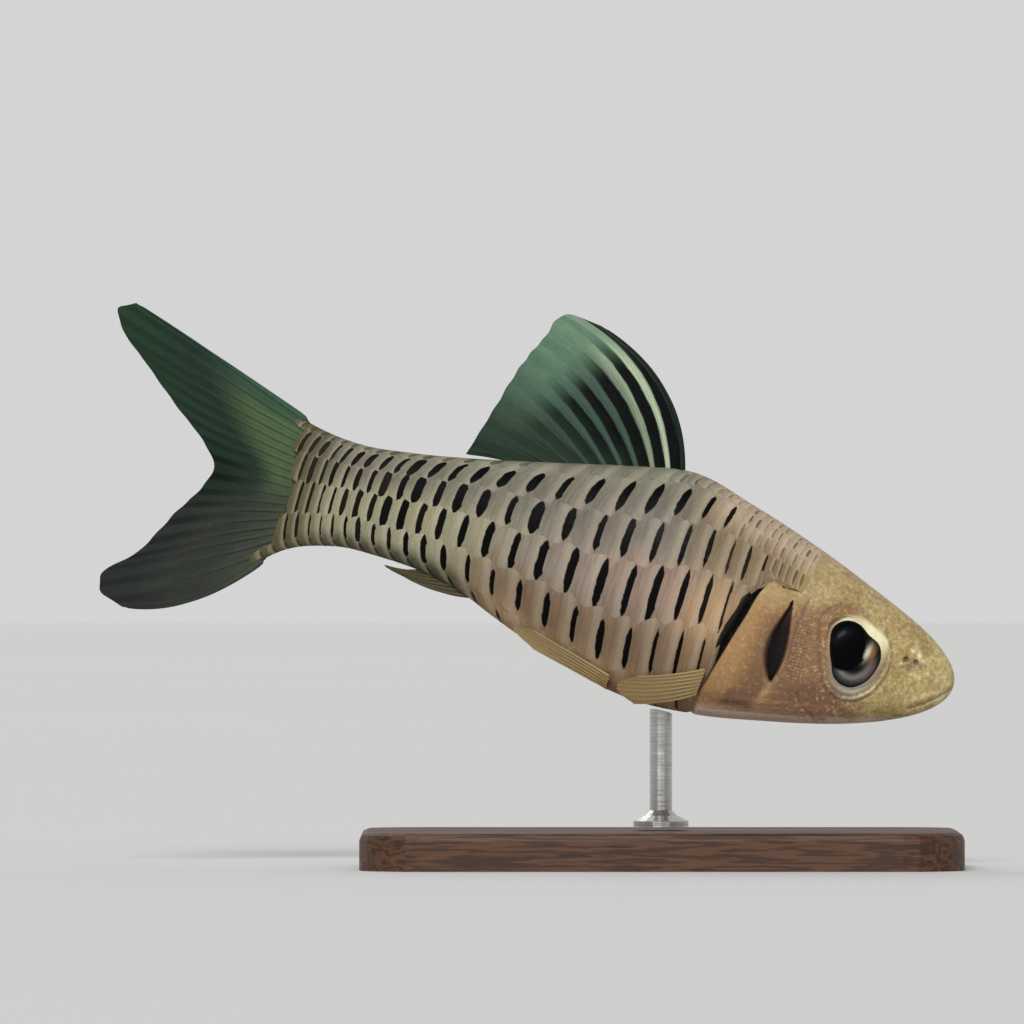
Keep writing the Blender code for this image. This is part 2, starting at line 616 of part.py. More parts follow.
def fins(fish, work):
    """Every fin, each cut 0.3 mm clear of the body that carries it."""
    dorsal_keys = [(row[0], row[1], row[2] - ROOT_SINK) + row[3:] for row in DORSAL_RAYS]
    anal_keys = [(row[0], row[1], row[2] + ROOT_SINK) + row[3:] for row in ANAL_RAYS]
    for name, keys, sway in (("dorsal_fin", dorsal_keys, DORSAL_SWAY),
                             ("anal_fin", anal_keys, ANAL_SWAY)):
        fin = standing_fin(name, keys, FIN_ROWS, sway, fish)
        around = body_piece("body_around", *map(straight_edge, FINS_STAND_ON), CUTTER_ROWS, work,
                            grow=GAP)
        combine(fin, [around], "DIFFERENCE")
    for name, keys, sway in (("tail_fin_upper", UPPER_TAIL_RAYS, UPPER_TAIL_SWAY),
                             ("tail_fin_lower", LOWER_TAIL_RAYS, LOWER_TAIL_SWAY)):
        shifted = [(row[0], row[1] + 0.5 * GAP / STANDARD_LENGTH) + row[2:] for row in keys]
        standing_fin(name, shifted, TAIL_FIN_ROWS, sway, fish, root=TAIL_FIN_ROOT)
    for side, hand in ((1, "right"), (-1, "left")):
        lying_fin("pectoral_fin_" + hand, PECTORAL_RAYS, PAIRED_FIN_ROWS, side, fish)
        lying_fin("pelvic_fin_" + hand, PELVIC_RAYS, PAIRED_FIN_ROWS, side, fish)


def stand_base(collection):
    """A flat base with round corners and a softened edge."""
    form = bmesh.new()
    bmesh.ops.create_cube(form, size=1.0)
    for vert in form.verts:
        vert.co = (vert.co.x * BASE_SIZE[0], vert.co.y * BASE_SIZE[1],
                   (vert.co.z + 0.5) * BASE_SIZE[2])
    upright = [edge for edge in form.edges
               if abs(edge.verts[0].co.z - edge.verts[1].co.z) > 0.5 * BASE_SIZE[2]]
    bmesh.ops.bevel(form, geom=upright, offset=BASE_CORNER, segments=BASE_CORNER_SEGMENTS,
                    profile=0.5, affect="EDGES")
    rim = [edge for edge in form.edges
           if all(vert.co.z > BASE_SIZE[2] - 1e-6 for vert in edge.verts)]
    bmesh.ops.bevel(form, geom=rim, offset=BASE_EDGE, segments=BASE_EDGE_SEGMENTS, profile=0.5,
                    affect="EDGES")
    obj = bpy.data.objects.new("stand_base", bpy.data.meshes.new("stand_base"))
    form.to_mesh(obj.data)
    form.free()
    collection.objects.link(obj)
    return obj


def stand_rod(fish_pose, collection, work):
    """One upright rod with a foot, its top cut to the belly that it carries."""
    foot = BASE_SIZE[2] + GAP
    top = BASE_SIZE[2] + BELLY_OVER_BASE + ROD_OVERSHOOT
    profile = ((0.0, top), (ROD_RADIUS, top), (ROD_RADIUS, foot + FOOT_HEIGHT + FOOT_COLLAR),
               (ROD_RADIUS + FOOT_COLLAR, foot + FOOT_HEIGHT),
               (FOOT_RADIUS, foot + 0.5 * FOOT_HEIGHT), (FOOT_RADIUS, foot), (0.0, foot))
    links = [(k, k + 1) for k in range(len(profile) - 1)]
    mesh = bpy.data.meshes.new("stand_rod")
    mesh.from_pydata([(radius, 0.0, z) for radius, z in profile], links, [])
    rod = bpy.data.objects.new("stand_rod", mesh)
    collection.objects.link(rod)
    turn = rod.modifiers.new("turned", "SCREW")
    turn.steps = ROD_SIDES
    turn.render_steps = ROD_SIDES
    turn.use_merge_vertices = True
    turn.merge_threshold = 1e-6
    bpy.context.view_layer.update()
    solid = bpy.data.meshes.new_from_object(
        rod.evaluated_get(bpy.context.evaluated_depsgraph_get()))
    rod.modifiers.clear()
    rod.data = solid
    bpy.data.meshes.remove(mesh)
    clean(rod)
    around = body_piece("belly_around", *map(straight_edge, ROD_STANDS_UNDER), CUTTER_ROWS, work,
                        grow=GAP)
    swim_bend(around.data)
    around.parent = fish_pose
    bpy.context.view_layer.update()
    combine(rod, [around], "DIFFERENCE")
    return rod


def finish_material(name, color, metallic=0.0, roughness=0.45):
    """A plain surface of one colour."""
    material = bpy.data.materials.new(name)
    material.use_nodes = True
    shader = material.node_tree.nodes["Principled BSDF"]
    shader.inputs["Base Color"].default_value = (*color, 1.0)
    shader.inputs["Metallic"].default_value = metallic
    shader.inputs["Roughness"].default_value = roughness
    return material


def surface_of(name):
    """The name of the colour that a node wears."""
    for start, color in (("eye", "eye"), ("gill_cover", "gill_cover"), ("head", "head"),
                         ("lower_jaw", "head"), ("pectoral", "pale_fin"), ("pelvic", "pale_fin"),
                         ("stand_base", "base"), ("stand_rod", "rod")):
        if name.startswith(start):
            return color
    return "fin" if "fin" in name else "flank"


def main():
    for old in list(bpy.data.objects):
        bpy.data.objects.remove(old)
    scene = bpy.context.scene
    fish = bpy.data.collections.new("oreichthys_cosuatis")
    work = bpy.data.collections.new("cutters")
    scene.collection.children.link(fish)
    scene.collection.children.link(work)

    pose = bpy.data.objects.new("fish_pose", None)
    fish.objects.link(pose)
    lowest = min(s * math.sin(HEAD_DOWN) + h * math.cos(HEAD_DOWN)
                 for s, _, h, _ in BODY_STATIONS) * STANDARD_LENGTH
    pose.rotation_euler = (0.0, HEAD_DOWN, 0.0)
    pose.location = (PLACE_OVER_ORIGIN * STANDARD_LENGTH * math.cos(HEAD_DOWN), 0.0,
                     BASE_SIZE[2] + BELLY_OVER_BASE - lowest)

    head_pieces(fish, work)
    trunk_pieces(fish)
    fins(fish, work)
    for obj in list(fish.objects):
        if obj.type == "MESH":
            swim_bend(obj.data)
            obj.parent = pose
    bpy.context.view_layer.update()
    stand_base(fish)
    stand_rod(pose, fish, work)
    for obj in fish.objects:
        if obj.type == "MESH":
            color = surface_of(obj.name)
            obj.data.materials.clear()
            metallic = 1.0 if color == "rod" else 0.0
            obj.data.materials.append(
                finish_material(obj.name + "_surface", COLORS[color], metallic))
            obj.data.shade_smooth()
            obj.data.set_sharp_from_angle(angle=math.radians(35.0))


main()
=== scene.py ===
"""Looks of the small barb display model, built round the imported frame.

The fish is shaped straight along its own axis first: a place s runs from 0 at the snout tip to 1
at the base of the tail fin, a height h is counted up from the axis, and both are fractions of the
standard length. An angle round the section runs from 0 at the back, down the right flank, to pi
at the belly. Sideways distances are metres, positive to the fish's left. The swimming bend and
the pitch are given to whole arrays of points at the end.
"""

import logging
import math
from collections import defaultdict
from dataclasses import dataclass, field
from enum import Enum
from typing import Callable

import bmesh
import bpy
import numpy as np
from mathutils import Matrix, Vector


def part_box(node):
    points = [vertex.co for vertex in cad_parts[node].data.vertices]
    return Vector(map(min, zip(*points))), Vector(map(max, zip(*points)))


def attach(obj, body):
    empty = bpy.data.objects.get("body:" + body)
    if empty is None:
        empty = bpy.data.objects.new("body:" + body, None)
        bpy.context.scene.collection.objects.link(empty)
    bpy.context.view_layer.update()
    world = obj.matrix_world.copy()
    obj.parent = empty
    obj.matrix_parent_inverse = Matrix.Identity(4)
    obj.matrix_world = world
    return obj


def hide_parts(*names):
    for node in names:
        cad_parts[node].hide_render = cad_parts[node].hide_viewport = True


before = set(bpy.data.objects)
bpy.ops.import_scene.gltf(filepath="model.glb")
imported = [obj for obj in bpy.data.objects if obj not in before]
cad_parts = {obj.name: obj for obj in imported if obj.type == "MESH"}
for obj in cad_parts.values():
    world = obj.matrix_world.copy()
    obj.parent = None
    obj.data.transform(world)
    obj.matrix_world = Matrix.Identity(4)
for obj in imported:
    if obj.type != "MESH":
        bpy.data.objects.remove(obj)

Array = np.ndarray
Pair = tuple[np.ndarray, np.ndarray]
Number = float | np.ndarray
Color = tuple[float, float, float]
Spot = tuple[float, float]
Material = bpy.types.Material
Object = bpy.types.Object
MM = 0.001
TURN = 2.0 * math.pi
LOG = logging.getLogger("barb")


def on_screen(*levels: int) -> Color:
    """Red, green and blue from 0 to 255 on a screen, as the linear values that shaders take."""
    share = np.array(levels) / 255.0
    return tuple(np.where(share <= 0.04045, share / 12.92, ((share + 0.055) / 1.055) ** 2.4).tolist())


def rise(low: Number, high: Number, value: Array) -> Array:
    """A rise from 0 at low to 1 at high, level at both ends: 3t squared less 2t cubed."""
    t = np.clip((value - low) / (np.asarray(high, float) - low), 0.0, 1.0)
    return t * t * (3.0 - 2.0 * t)


def hill(value: Array, middle: Number, width: Number) -> Array:
    """A bell of height 1 round the middle: e to the minus square of the distance over width."""
    return np.exp(-(((value - middle) / width) ** 2))


def facing(angle: Array, direction: float, width: float) -> Array:
    """A bell of height 1 round a direction on a circle, in degrees."""
    return hill((angle - direction + 180.0) % 360.0 - 180.0, 0.0, width)


def smooth_through(x: Array, points: tuple) -> Array:
    """A smooth curve read at x.

    Each span between two knots is a cubic that starts and ends with the mean slope of its
    neighbours.

    Args:
        x: Where to read the curve.
        points: Rows of a knot followed by its values.

    Returns:
        The values at x, in one more axis than x has.
    """
    table = np.asarray(points, float)
    knots, values = table[:, 0], table[:, 1:]
    slopes = np.gradient(values, knots, axis=0)
    x = np.asarray(x, float)
    span = np.clip(np.searchsorted(knots, x, side="right") - 1, 0, len(knots) - 2)
    width = (knots[span + 1] - knots[span])[..., None]
    t = (x[..., None] - knots[span][..., None]) / width
    return ((2 * t**3 - 3 * t**2 + 1) * values[span] + (t**3 - 2 * t**2 + t) * width * slopes[span]
            + (3 * t**2 - 2 * t**3) * values[span + 1] + (t**3 - t**2) * width * slopes[span + 1])


def curve(x: Array, *points: Spot) -> Array:
    """One value read at x from a smooth curve through points, held level past its ends."""
    return smooth_through(np.clip(x, points[0][0], points[-1][0]), points)[..., 0]


def stacked(*parts: Array) -> Array:
    """Arrays of like or spreading shapes as the parts of one more axis."""
    return np.stack(np.broadcast_arrays(*parts), axis=-1)


@dataclass(frozen=True)
class FishForm:
    """The body's own shape and pose, with the same driving sizes as the solids."""
    standard_length: float = 0.055
    head_down: float = math.radians(16.36)
    bend: float = 0.22
    bend_start: float = 0.35
    place_over_origin: float = 0.445
    belly_over_base: float = 0.0085
    widest_height: float = 0.52
    head_squareness: float = 2.45
    tail_squareness: float = 1.95
    girth_warp: float = 0.075
    # Place, back, belly as fractions of the standard length, half width in metres
    stations: tuple = (
        (0.000, -0.008, -0.008, 0.00000), (0.050, 0.051, -0.068, 0.00205),
        (0.150, 0.095, -0.109, 0.00350), (0.250, 0.132, -0.134, 0.00425),
        (0.350, 0.162, -0.153, 0.00455), (0.450, 0.184, -0.158, 0.00445),
        (0.550, 0.165, -0.139, 0.00380), (0.650, 0.140, -0.107, 0.00310),
        (0.750, 0.116, -0.072, 0.00240), (0.850, 0.096, -0.063, 0.00180),
        (0.925, 0.087, -0.068, 0.00135), (1.000, 0.095, -0.101, 0.00088),
        (1.040, 0.106, -0.142, 0.00070))
    gill_knots: tuple = ((-0.17, 0.352), (-0.10, 0.346), (-0.05, 0.334), (0.00, 0.320),
                         (0.059, 0.300), (0.09, 0.272), (0.135, 0.250), (0.19, 0.235))
    tail_base: float = 0.993
    tail_base_hollow: float = 0.018
    tail_base_half_depth: float = 0.10

    def outline(self, s: Array) -> tuple[Array, Array, Array]:
        """Back, belly and half width at places s, from a smooth curve over the root of s."""
        roots = tuple((math.sqrt(row[0]),) + row[1:] for row in self.stations)
        return tuple(np.moveaxis(smooth_through(np.sqrt(np.clip(s, 0.0, None)), roots), -1, 0))

    def level(self, s: Array, h: Array) -> Array:
        """How high a height lies at a place, from 0 at the belly to 1 at the back."""
        back, belly, _ = self.outline(s)
        return (h - belly) / np.maximum(back - belly, 1e-6)

    def squareness(self, s: Array) -> Array:
        """The power of the section's curve, from the head to the tail."""
        change = self.tail_squareness - self.head_squareness
        return self.head_squareness + change * np.clip(s, 0.0, 1.0)

    def section(self, s: Array, angle: Array) -> Pair:
        """The skin at an angle round the section.

        A ray leaves the widest height at the angle and stops on the superellipse whose half axes
        are the half width and the reach to the back or to the belly.

        Args:
            s: Places along the fish.
            angle: Angles round the section.

        Returns:
            Sideways distances in metres and heights.
        """
        back, belly, half_width = self.outline(s)
        widest = belly + self.widest_height * (back - belly)
        up, across = np.cos(angle), np.sin(angle)
        power = self.squareness(s)
        reach = np.where(up >= 0.0, back - widest, widest - belly)
        ray = (np.abs(up) ** power + np.abs(across) ** power) ** (-1.0 / power)
        return -half_width * ray * across, widest + reach * ray * up

    def height(self, s: Array, angle: Array) -> Array:
        """Height of the skin at an angle round the section."""
        return self.section(s, angle)[1]

    def flank(self, s: Array, h: Array) -> Array:
        """Half width of the body in metres at a place and a height.

        The height gives the angle first: the slope of the ray that meets the superellipse there,
        by the arc tangent.

        Args:
            s: Places.
            h: Heights.

        Returns:
            Distances from the middle plane.
        """
        back, belly, _ = self.outline(s)
        widest = belly + self.widest_height * (back - belly)
        reach = np.maximum(np.where(h >= widest, back - widest, widest - belly), 1e-9)
        power = self.squareness(s)
        up = np.clip((h - widest) / reach, -1.0, 1.0)
        return -self.section(s, np.arctan2((1.0 - np.abs(up) ** power) ** (1.0 / power), up))[0]

    def girth_angle(self, share: Array) -> Array:
        """The angle at a share of the way round, eased so that equal shares are like lengths."""
        return TURN * share + self.girth_warp * np.sin(2.0 * TURN * share)

    def gill_line(self, h: Array) -> Array:
        """Place of the gill cover's rear edge at a height."""
        return curve(h, *self.gill_knots)

    def gill_gap(self, h: Array) -> Array:
        """How far behind the gill line the scales start: the open black band in the middle."""
        return 0.0020 + 0.0125 * rise(0.064, 0.015, h) * rise(-0.080, -0.024, h)

    def tail_base_line(self, h: Array) -> Array:
        """Place where the scaled stalk ends and the tail fin starts, hollow in the middle."""
        return self.tail_base + self.tail_base_hollow * (h / self.tail_base_half_depth) ** 2

    def points(self, s: Array, side: Array, h: Array) -> Array:
        """Points in metres on the straight fish from place, sideways distance and height."""
        return stacked(-s * self.standard_length, side, h * self.standard_length)

    def surface(self, s: Array, angle: Array, lift: Number = 0.0) -> Array:
        """Points on the straight fish's skin, lifted along its normal.

        The normal is the cross product of the skin's two slopes, from small steps in place and
        angle.

        Args:
            s: Places.
            angle: Angles round the section.
            lift: Metres above the skin.

        Returns:
            Points in metres.
        """
        step = 1e-3
        middle = self.points(s, *self.section(s, angle))
        along = self.points(s + step, *self.section(s + step, angle)) - middle
        around = self.points(s, *self.section(s, angle + step)) - middle
        normal = np.cross(along, around)
        normal /= np.maximum(np.linalg.norm(normal, axis=-1, keepdims=True), 1e-15)
        return middle + normal * np.asarray(lift)[..., None]

    def pose(self, points: Array) -> Array:
        """Points of the straight fish, bent, pitched and held over the base.

        Behind its start the bend moves the axis to the left by the bend times the square of the
        place, with sections square to the new axis; the pitch turns about the sideways axis.

        Args:
            points: Points in metres on the straight fish.

        Returns:
            The same points in the frame that all pieces share.
        """
        x, y, z = np.moveaxis(points, -1, 0)
        behind = np.maximum(-x / self.standard_length - self.bend_start, 0.0)
        slope = 2.0 * self.bend * behind
        length = np.sqrt(1.0 + slope**2)
        x = x + y * slope / length
        y = self.bend * self.standard_length * behind**2 + y / length
        turn, up = math.cos(self.head_down), math.sin(self.head_down)
        lowest = min(row[0] * up + row[2] * turn for row in self.stations)
        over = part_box("stand_base")[1].z + self.belly_over_base - lowest * self.standard_length
        ahead = self.place_over_origin * self.standard_length * turn
        return stacked(x * turn + z * up + ahead, y, z * turn - x * up + over)


FORM = FishForm()
LENGTH = FORM.standard_length


class Slot(Enum):
    """The record's material slots."""
    HEAD = "head_skin"
    EYE = "eye"
    FLANK = "scaled_flank"
    GREEN_FIN = "green_fin"
    PALE_FIN = "pale_fin"
    WOOD = "stand_wood"
    STEEL = "stand_steel"


class Side(Enum):
    """The fish's two sides; the value is 1 where sideways distances are negative."""
    RIGHT = 1
    LEFT = -1

    @property
    def word(self) -> str:
        """The side's name in the names of pieces."""
        return self.name.lower()


def put_in_scene(name: str, data: bpy.types.ID) -> Object:
    """Put a new object into the scene.

    Args:
        name: Its name.
        data: Its mesh, lamp or camera.

    Returns:
        The object, at the origin.
    """
    thing = bpy.data.objects.new(name, data)
    bpy.context.scene.collection.objects.link(thing)
    return thing


def place_piece(piece: Object, slot: Slot, *nodes: str) -> None:
    """Let a piece ride on the one body and stand for the solids it covers.

    Args:
        piece: The piece.
        slot: Its slot in the record; not used.
        *nodes: The solids that it covers, if any.
    """
    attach(piece, "root")
    if nodes:
        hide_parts(*nodes)
    LOG.info("%s: %d faces", piece.name, len(piece.data.polygons))


def bake_patch(rows: Array, columns: Array, low: Spot,
               high: Spot) -> Array:
    """A UV grid that fills the patch between two corners, from shares of rows and columns."""
    return stacked(low[0] + (high[0] - low[0]) * rows, low[1] + (high[1] - low[1]) * columns)


class MeshStock:
    """Gathers grids of points into one mesh, with its UV maps and painted attributes."""
    doubles_within = 1e-7
    sharp_from = math.radians(75.0)

    def __init__(self) -> None:
        """Start with nothing gathered."""
        self.points: list[Array] = []
        self.faces: list[Array] = []
        self.maps: dict[str, list[Array]] = defaultdict(list)
        self.paints: dict[str, list[Array]] = defaultdict(list)
        self.count = 0

    def _store(self, points: Array, paints: dict[str, Array]) -> Array:
        """Keep a grid of points and what is painted on them.

        Args:
            points: Points, in any grid.
            paints: Colours of each point; those of three parts get a fourth, 1.

        Returns:
            The numbers of the points in the mesh.
        """
        numbers = self.count + np.arange(points[..., 0].size).reshape(points.shape[:-1])
        self.points.append(points.reshape(-1, 3))
        self.count += numbers.size
        for name, paint in paints.items():
            flat = paint.reshape(numbers.size, -1)
            solid = np.ones((numbers.size, 4 - flat.shape[1]))
            self.paints[name].append(np.concatenate((flat, solid), -1))
        return numbers

    def _quads(self, numbers: Array, maps: dict[str, Array], flip: bool) -> None:
        """Add the quads of a grid of vertex numbers, with the UV of each of their corners.

        Args:
            numbers: The grid.
            maps: UV grids of the same shape.
            flip: Turns the faces over.
        """
        for name, grid in {"": numbers[..., None], **maps}.items():
            cells = [grid[..., :-1, :-1, :], grid[..., :-1, 1:, :], grid[..., 1:, 1:, :],
                     grid[..., 1:, :-1, :]]
            ring = np.stack(cells[::-1] if flip else cells, axis=-2)
            (self.maps[name] if name else self.faces).append(ring.reshape(-1, 4, ring.shape[-1]))

    def add_round(self, points: Array, maps: dict[str, Array], paints: dict[str, Array],
                  flip: bool = False) -> None:
        """Add closed tubes; the UV grids have one column more, where the seam is read again."""
        numbers = self._store(points, paints)
        self._quads(np.concatenate((numbers, numbers[..., :1]), axis=-1), maps, flip)

    def add_leaf(self, top: Array, bottom: Array, maps: dict[str, Array],
                 bottom_maps: dict[str, Array], paints: dict[str, Array], flip: bool) -> None:
        """Add closed leaves: two grids that share the points of their rim.

        Args:
            top: Points of the upper grids, as leaves, rows, columns, 3.
            bottom: Points of the lower grids; their own rims are left out.
            maps: UV grids of the upper faces.
            bottom_maps: UV grids of the lower faces.
            paints: Colours of each point, alike above and below.
            flip: Turns the faces over.
        """
        above = self._store(top, paints)
        below = above.copy()
        inside = (..., slice(1, -1), slice(1, -1), slice(None))
        below[inside[:-1]] = self._store(bottom[inside], {n: p[inside] for n, p in paints.items()})
        self._quads(above, maps, flip)
        self._quads(below, bottom_maps, not flip)

    def build(self, name: str, material: Material) -> Object:
        """Make the mesh object, drop the slivers of its shut ends and smooth its shading.

        Args:
            name: The piece's name.
            material: Its finish.

        Returns:
            The object, at the origin.
        """
        def pour(target: bpy.types.bpy_prop_collection, key: str, parts: list[Array],
                 kind: type = np.float32) -> None:
            """Put the numbers of arrays into a collection."""
            target.foreach_set(key, np.concatenate(parts).ravel().astype(kind))

        mesh = bpy.data.meshes.new(name)
        quads = sum(len(part) for part in self.faces)
        mesh.vertices.add(self.count)
        mesh.loops.add(4 * quads)
        mesh.polygons.add(quads)
        pour(mesh.vertices, "co", self.points)
        pour(mesh.loops, "vertex_index", self.faces, np.int32)
        pour(mesh.polygons, "loop_start", [4 * np.arange(quads)], np.int32)
        mesh.update(calc_edges=True)
        for title, parts in self.maps.items():
            pour(mesh.uv_layers.new(name=title).uv, "vector", parts)
        for title, parts in self.paints.items():
            pour(mesh.attributes.new(title, "FLOAT_COLOR", "POINT").data, "color", parts)
        form = bmesh.new()
        form.from_mesh(mesh)
        bmesh.ops.remove_doubles(form, verts=form.verts, dist=self.doubles_within)
        form.to_mesh(mesh)
        form.free()
        mesh.shade_smooth()
        mesh.set_sharp_from_angle(angle=self.sharp_from)
        mesh.materials.append(material)
        return put_in_scene(name, mesh)


class Wire:
    """An output of a shader node, which counts like a number."""

    def __init__(self, bench: "NodeBench", socket: bpy.types.NodeSocket) -> None:
        """Keep the socket and the bench that it is on."""
        self.bench = bench
        self.socket = socket

    def __add__(self, other: object) -> "Wire":
        """This and another number together."""
        return self.bench.math("ADD", self, other)

    def __sub__(self, other: object) -> "Wire":
        """This less another number."""
        return self.bench.math("SUBTRACT", self, other)

    def __rsub__(self, other: object) -> "Wire":
        """Another number less this."""
        return self.bench.math("SUBTRACT", other, self)

    def __mul__(self, other: object) -> "Wire":
        """This times another number."""
        return self.bench.math("MULTIPLY", self, other)

    def __truediv__(self, other: object) -> "Wire":
        """This over another number."""
        return self.bench.math("DIVIDE", self, other)

    def __pow__(self, other: object) -> "Wire":
        """This to a power."""
        return self.bench.math("POWER", self, other)

    def __abs__(self) -> "Wire":
        """This without its sign."""
        return self.bench.math("ABSOLUTE", self)

    def ease(self, low: float, high: float, start: float = 0.0, end: float = 1.0) -> "Wire":
        """A smooth rise of start to end while this goes from low to high."""
        inputs = {"Value": self, "From Min": low, "From Max": high, "To Min": start, "To Max": end}
        return self.bench.add("MapRange", inputs, "Result", interpolation_type="SMOOTHSTEP")

    def parts(self, kind: str = "XYZ") -> list["Wire"]:
        """The three parts of a vector or a colour.

        Args:
            kind: XYZ for a vector, Color for a colour.

        Returns:
            The parts.
        """
        name = "Vector" if kind == "XYZ" else "Color"
        node = self.bench.add("Separate" + kind, {name: self}).socket.node
        return [Wire(self.bench, socket) for socket in node.outputs]


class NodeBench:
    """Adds and joins the shader nodes of one material or of the world."""

    def __init__(self, owner: bpy.types.ID, last: str, **constants: object) -> None:
        """Take up a material or a world.

        Args:
            owner: The material or the world.
            last: The name of the node that shows the result.
            **constants: Values of its sockets, with underscores for the spaces in their names.
        """
        owner.use_nodes = True
        self.owner = owner
        self.tree = owner.node_tree
        self.last = self.tree.nodes[last]
        for socket, value in constants.items():
            self.last.inputs[socket.replace("_", " ")].default_value = value

    @classmethod
    def for_material(cls, name: str, **constants: object) -> "NodeBench":
        """A bench for a new material, with constants for its shader."""
        return cls(bpy.data.materials.new(name), "Principled BSDF", **constants)

    def add(self, kind: str, inputs: dict, output: str | int = 0, **settings: object) -> Wire:
        """Add a node with its settings, and give each input a number or a link.

        Args:
            kind: The node's kind.
            inputs: Wires or numbers, by the names or places of the sockets.
            output: The output that is handed back.
            **settings: The node's own settings.

        Returns:
            The output.
        """
        node = self.tree.nodes.new("ShaderNode" + kind)
        for name, value in settings.items():
            setattr(node, name, value)
        for name, value in inputs.items():
            if isinstance(value, Wire):
                self.tree.links.new(value.socket, node.inputs[name])
            else:
                node.inputs[name].default_value = value
        return Wire(self, node.outputs[output])

    def math(self, operation: str, *values: object) -> Wire:
        """A sum of one or two numbers, by the name of the operation."""
        return self.add("Math", dict(enumerate(values)), operation=operation)

    def to_last(self, socket: str, value: Wire) -> None:
        """Link a value to one of the last node's sockets."""
        self.tree.links.new(value.socket, self.last.inputs[socket])

    def coordinates(self, stretch: tuple[float, float, float] = (1.0, 1.0, 1.0)) -> Wire:
        """Object coordinates, stretched along the three axes."""
        return self.add("Mapping", {"Vector": self.add("TexCoord", {}, "Object"), "Scale": stretch})

    def uv(self, name: str) -> list[Wire]:
        """The two coordinates of one of the piece's UV maps."""
        return self.add("UVMap", {}, uv_map=name).parts()[:2]

    def plane(self, x: Wire, y: Wire) -> Wire:
        """Two numbers as a vector."""
        return self.add("CombineXYZ", {"X": x, "Y": y})

    def painted(self, name: str, output: str = "Color") -> Wire:
        """What is painted on the piece under a name."""
        return self.add("Attribute", {}, output, attribute_name=name)

    def noise(self, vector: Wire, scale: float, detail: float = 3.0, rough: float = 0.55) -> Wire:
        """Soft noise about 0.5."""
        inputs = {"Vector": vector, "Scale": scale, "Detail": detail, "Roughness": rough}
        return self.add("TexNoise", inputs, "Fac")

    def mix(self, share: object, first: object, second: object, blend: str = "MIX") -> Wire:
        """A blend of two colours.

        Args:
            share: How far the second is blended in.
            first: A colour or a wire.
            second: Another one.
            blend: How they are blended.

        Returns:
            The blended colour.
        """
        ends = [(*end, 1.0) if isinstance(end, tuple) else end for end in (first, second)]
        return self.add("Mix", {0: share, 6: ends[0], 7: ends[1]}, 2, data_type="RGBA",
                        blend_type=blend)

    def finish(self, color: Wire, roughness: Wire | None = None,
               *bumps: tuple[Wire, float, float]) -> Material:
        """Link what was made and hand over the material.

        Args:
            color: Its colour.
            roughness: Its roughness, unless that is constant.
            *bumps: Height, depth in metres and strength of each bump, from the lowest up.

        Returns:
            The material.
        """
        self.to_last("Base Color", color)
        if roughness:
            self.to_last("Roughness", roughness)
        below = {}
        for height, depth, strength in bumps:
            inputs = {"Height": height, "Distance": depth, "Strength": strength, **below}
            below = {"Normal": self.add("Bump", inputs, "Normal")}
        if below:
            self.to_last("Normal", below["Normal"])
        return self.owner


@dataclass(frozen=True)
class HeadFinish:
    """Bare skin of the head and what shows between scales: painted, mottled and moist."""
    roughness: float = 0.42
    coat: float = 0.07
    coat_roughness: float = 0.20
    specular: float = 0.16
    mottle_scale: float = 3000.0
    blotch_scale: float = 800.0
    speck_scale: float = 4200.0
    beads_per_mm: float = 3.1
    speck: Color = on_screen(84, 56, 40)
    shade: Color = on_screen(112, 82, 50)
    glint: Color = on_screen(238, 220, 166)

    def make(self) -> Material:
        """The material: paint under blotches, granular mottles, freckles and rows of beads.

        Returns:
            The material.
        """
        bench = NodeBench.for_material("bare_skin", Coat_Weight=self.coat,
                                       Coat_Roughness=self.coat_roughness,
                                       Specular_IOR_Level=self.specular)
        place = bench.coordinates()
        freckles, beads, mottles = bench.painted("masks").parts("Color")
        grain = bench.noise(place, self.mottle_scale, 6.0, 0.7)
        blotch = bench.noise(place, self.blotch_scale, 3.0, 0.6)
        soft = (mottles * 0.6 + 0.4) * bench.painted("masks", "Alpha")
        color = bench.mix(grain.ease(0.52, 0.38, 0.0, 0.42) * soft, bench.painted("paint"), self.shade)
        color = bench.mix(grain.ease(0.52, 0.64, 0.0, 0.38) * soft, color, self.glint)
        color = bench.mix(blotch.ease(0.56, 0.40, 0.0, 0.33) * mottles, color, self.shade)
        spots = bench.add("TexVoronoi", {"Vector": place, "Scale": self.speck_scale}, "Distance")
        chosen = bench.noise(place, 1700.0, 1.0).ease(0.52, 0.62)
        color = bench.mix(spots.ease(0.34, 0.14, 0.0, 0.6) * freckles * chosen, color, self.speck)
        rows = self._beads(bench)
        color = bench.mix(rows.ease(0.30, 0.62, 0.0, 0.26) * beads, color, self.speck)
        return bench.finish(
            color, grain.ease(0.3, 0.7, self.roughness - 0.08, self.roughness + 0.10),
            (rows.ease(0.62, 0.15) * beads, 0.00007, 0.8), (spots, 0.00004, 0.35),
            (grain, 0.00006, 0.55))

    def _beads(self, bench: NodeBench) -> Wire:
        """Distance from the middles of beads that stand in slightly uneven upright rows.

        Args:
            bench: Where the nodes are added.

        Returns:
            The distance, in spacings.
        """
        along, up = bench.uv("SkinMap")
        flat = bench.plane(along * self.beads_per_mm, up * (self.beads_per_mm * 1.25))
        return bench.add("TexVoronoi", {"Vector": flat, "Scale": 1.0, "Randomness": 0.45},
                         "Distance", voronoi_dimensions="2D")


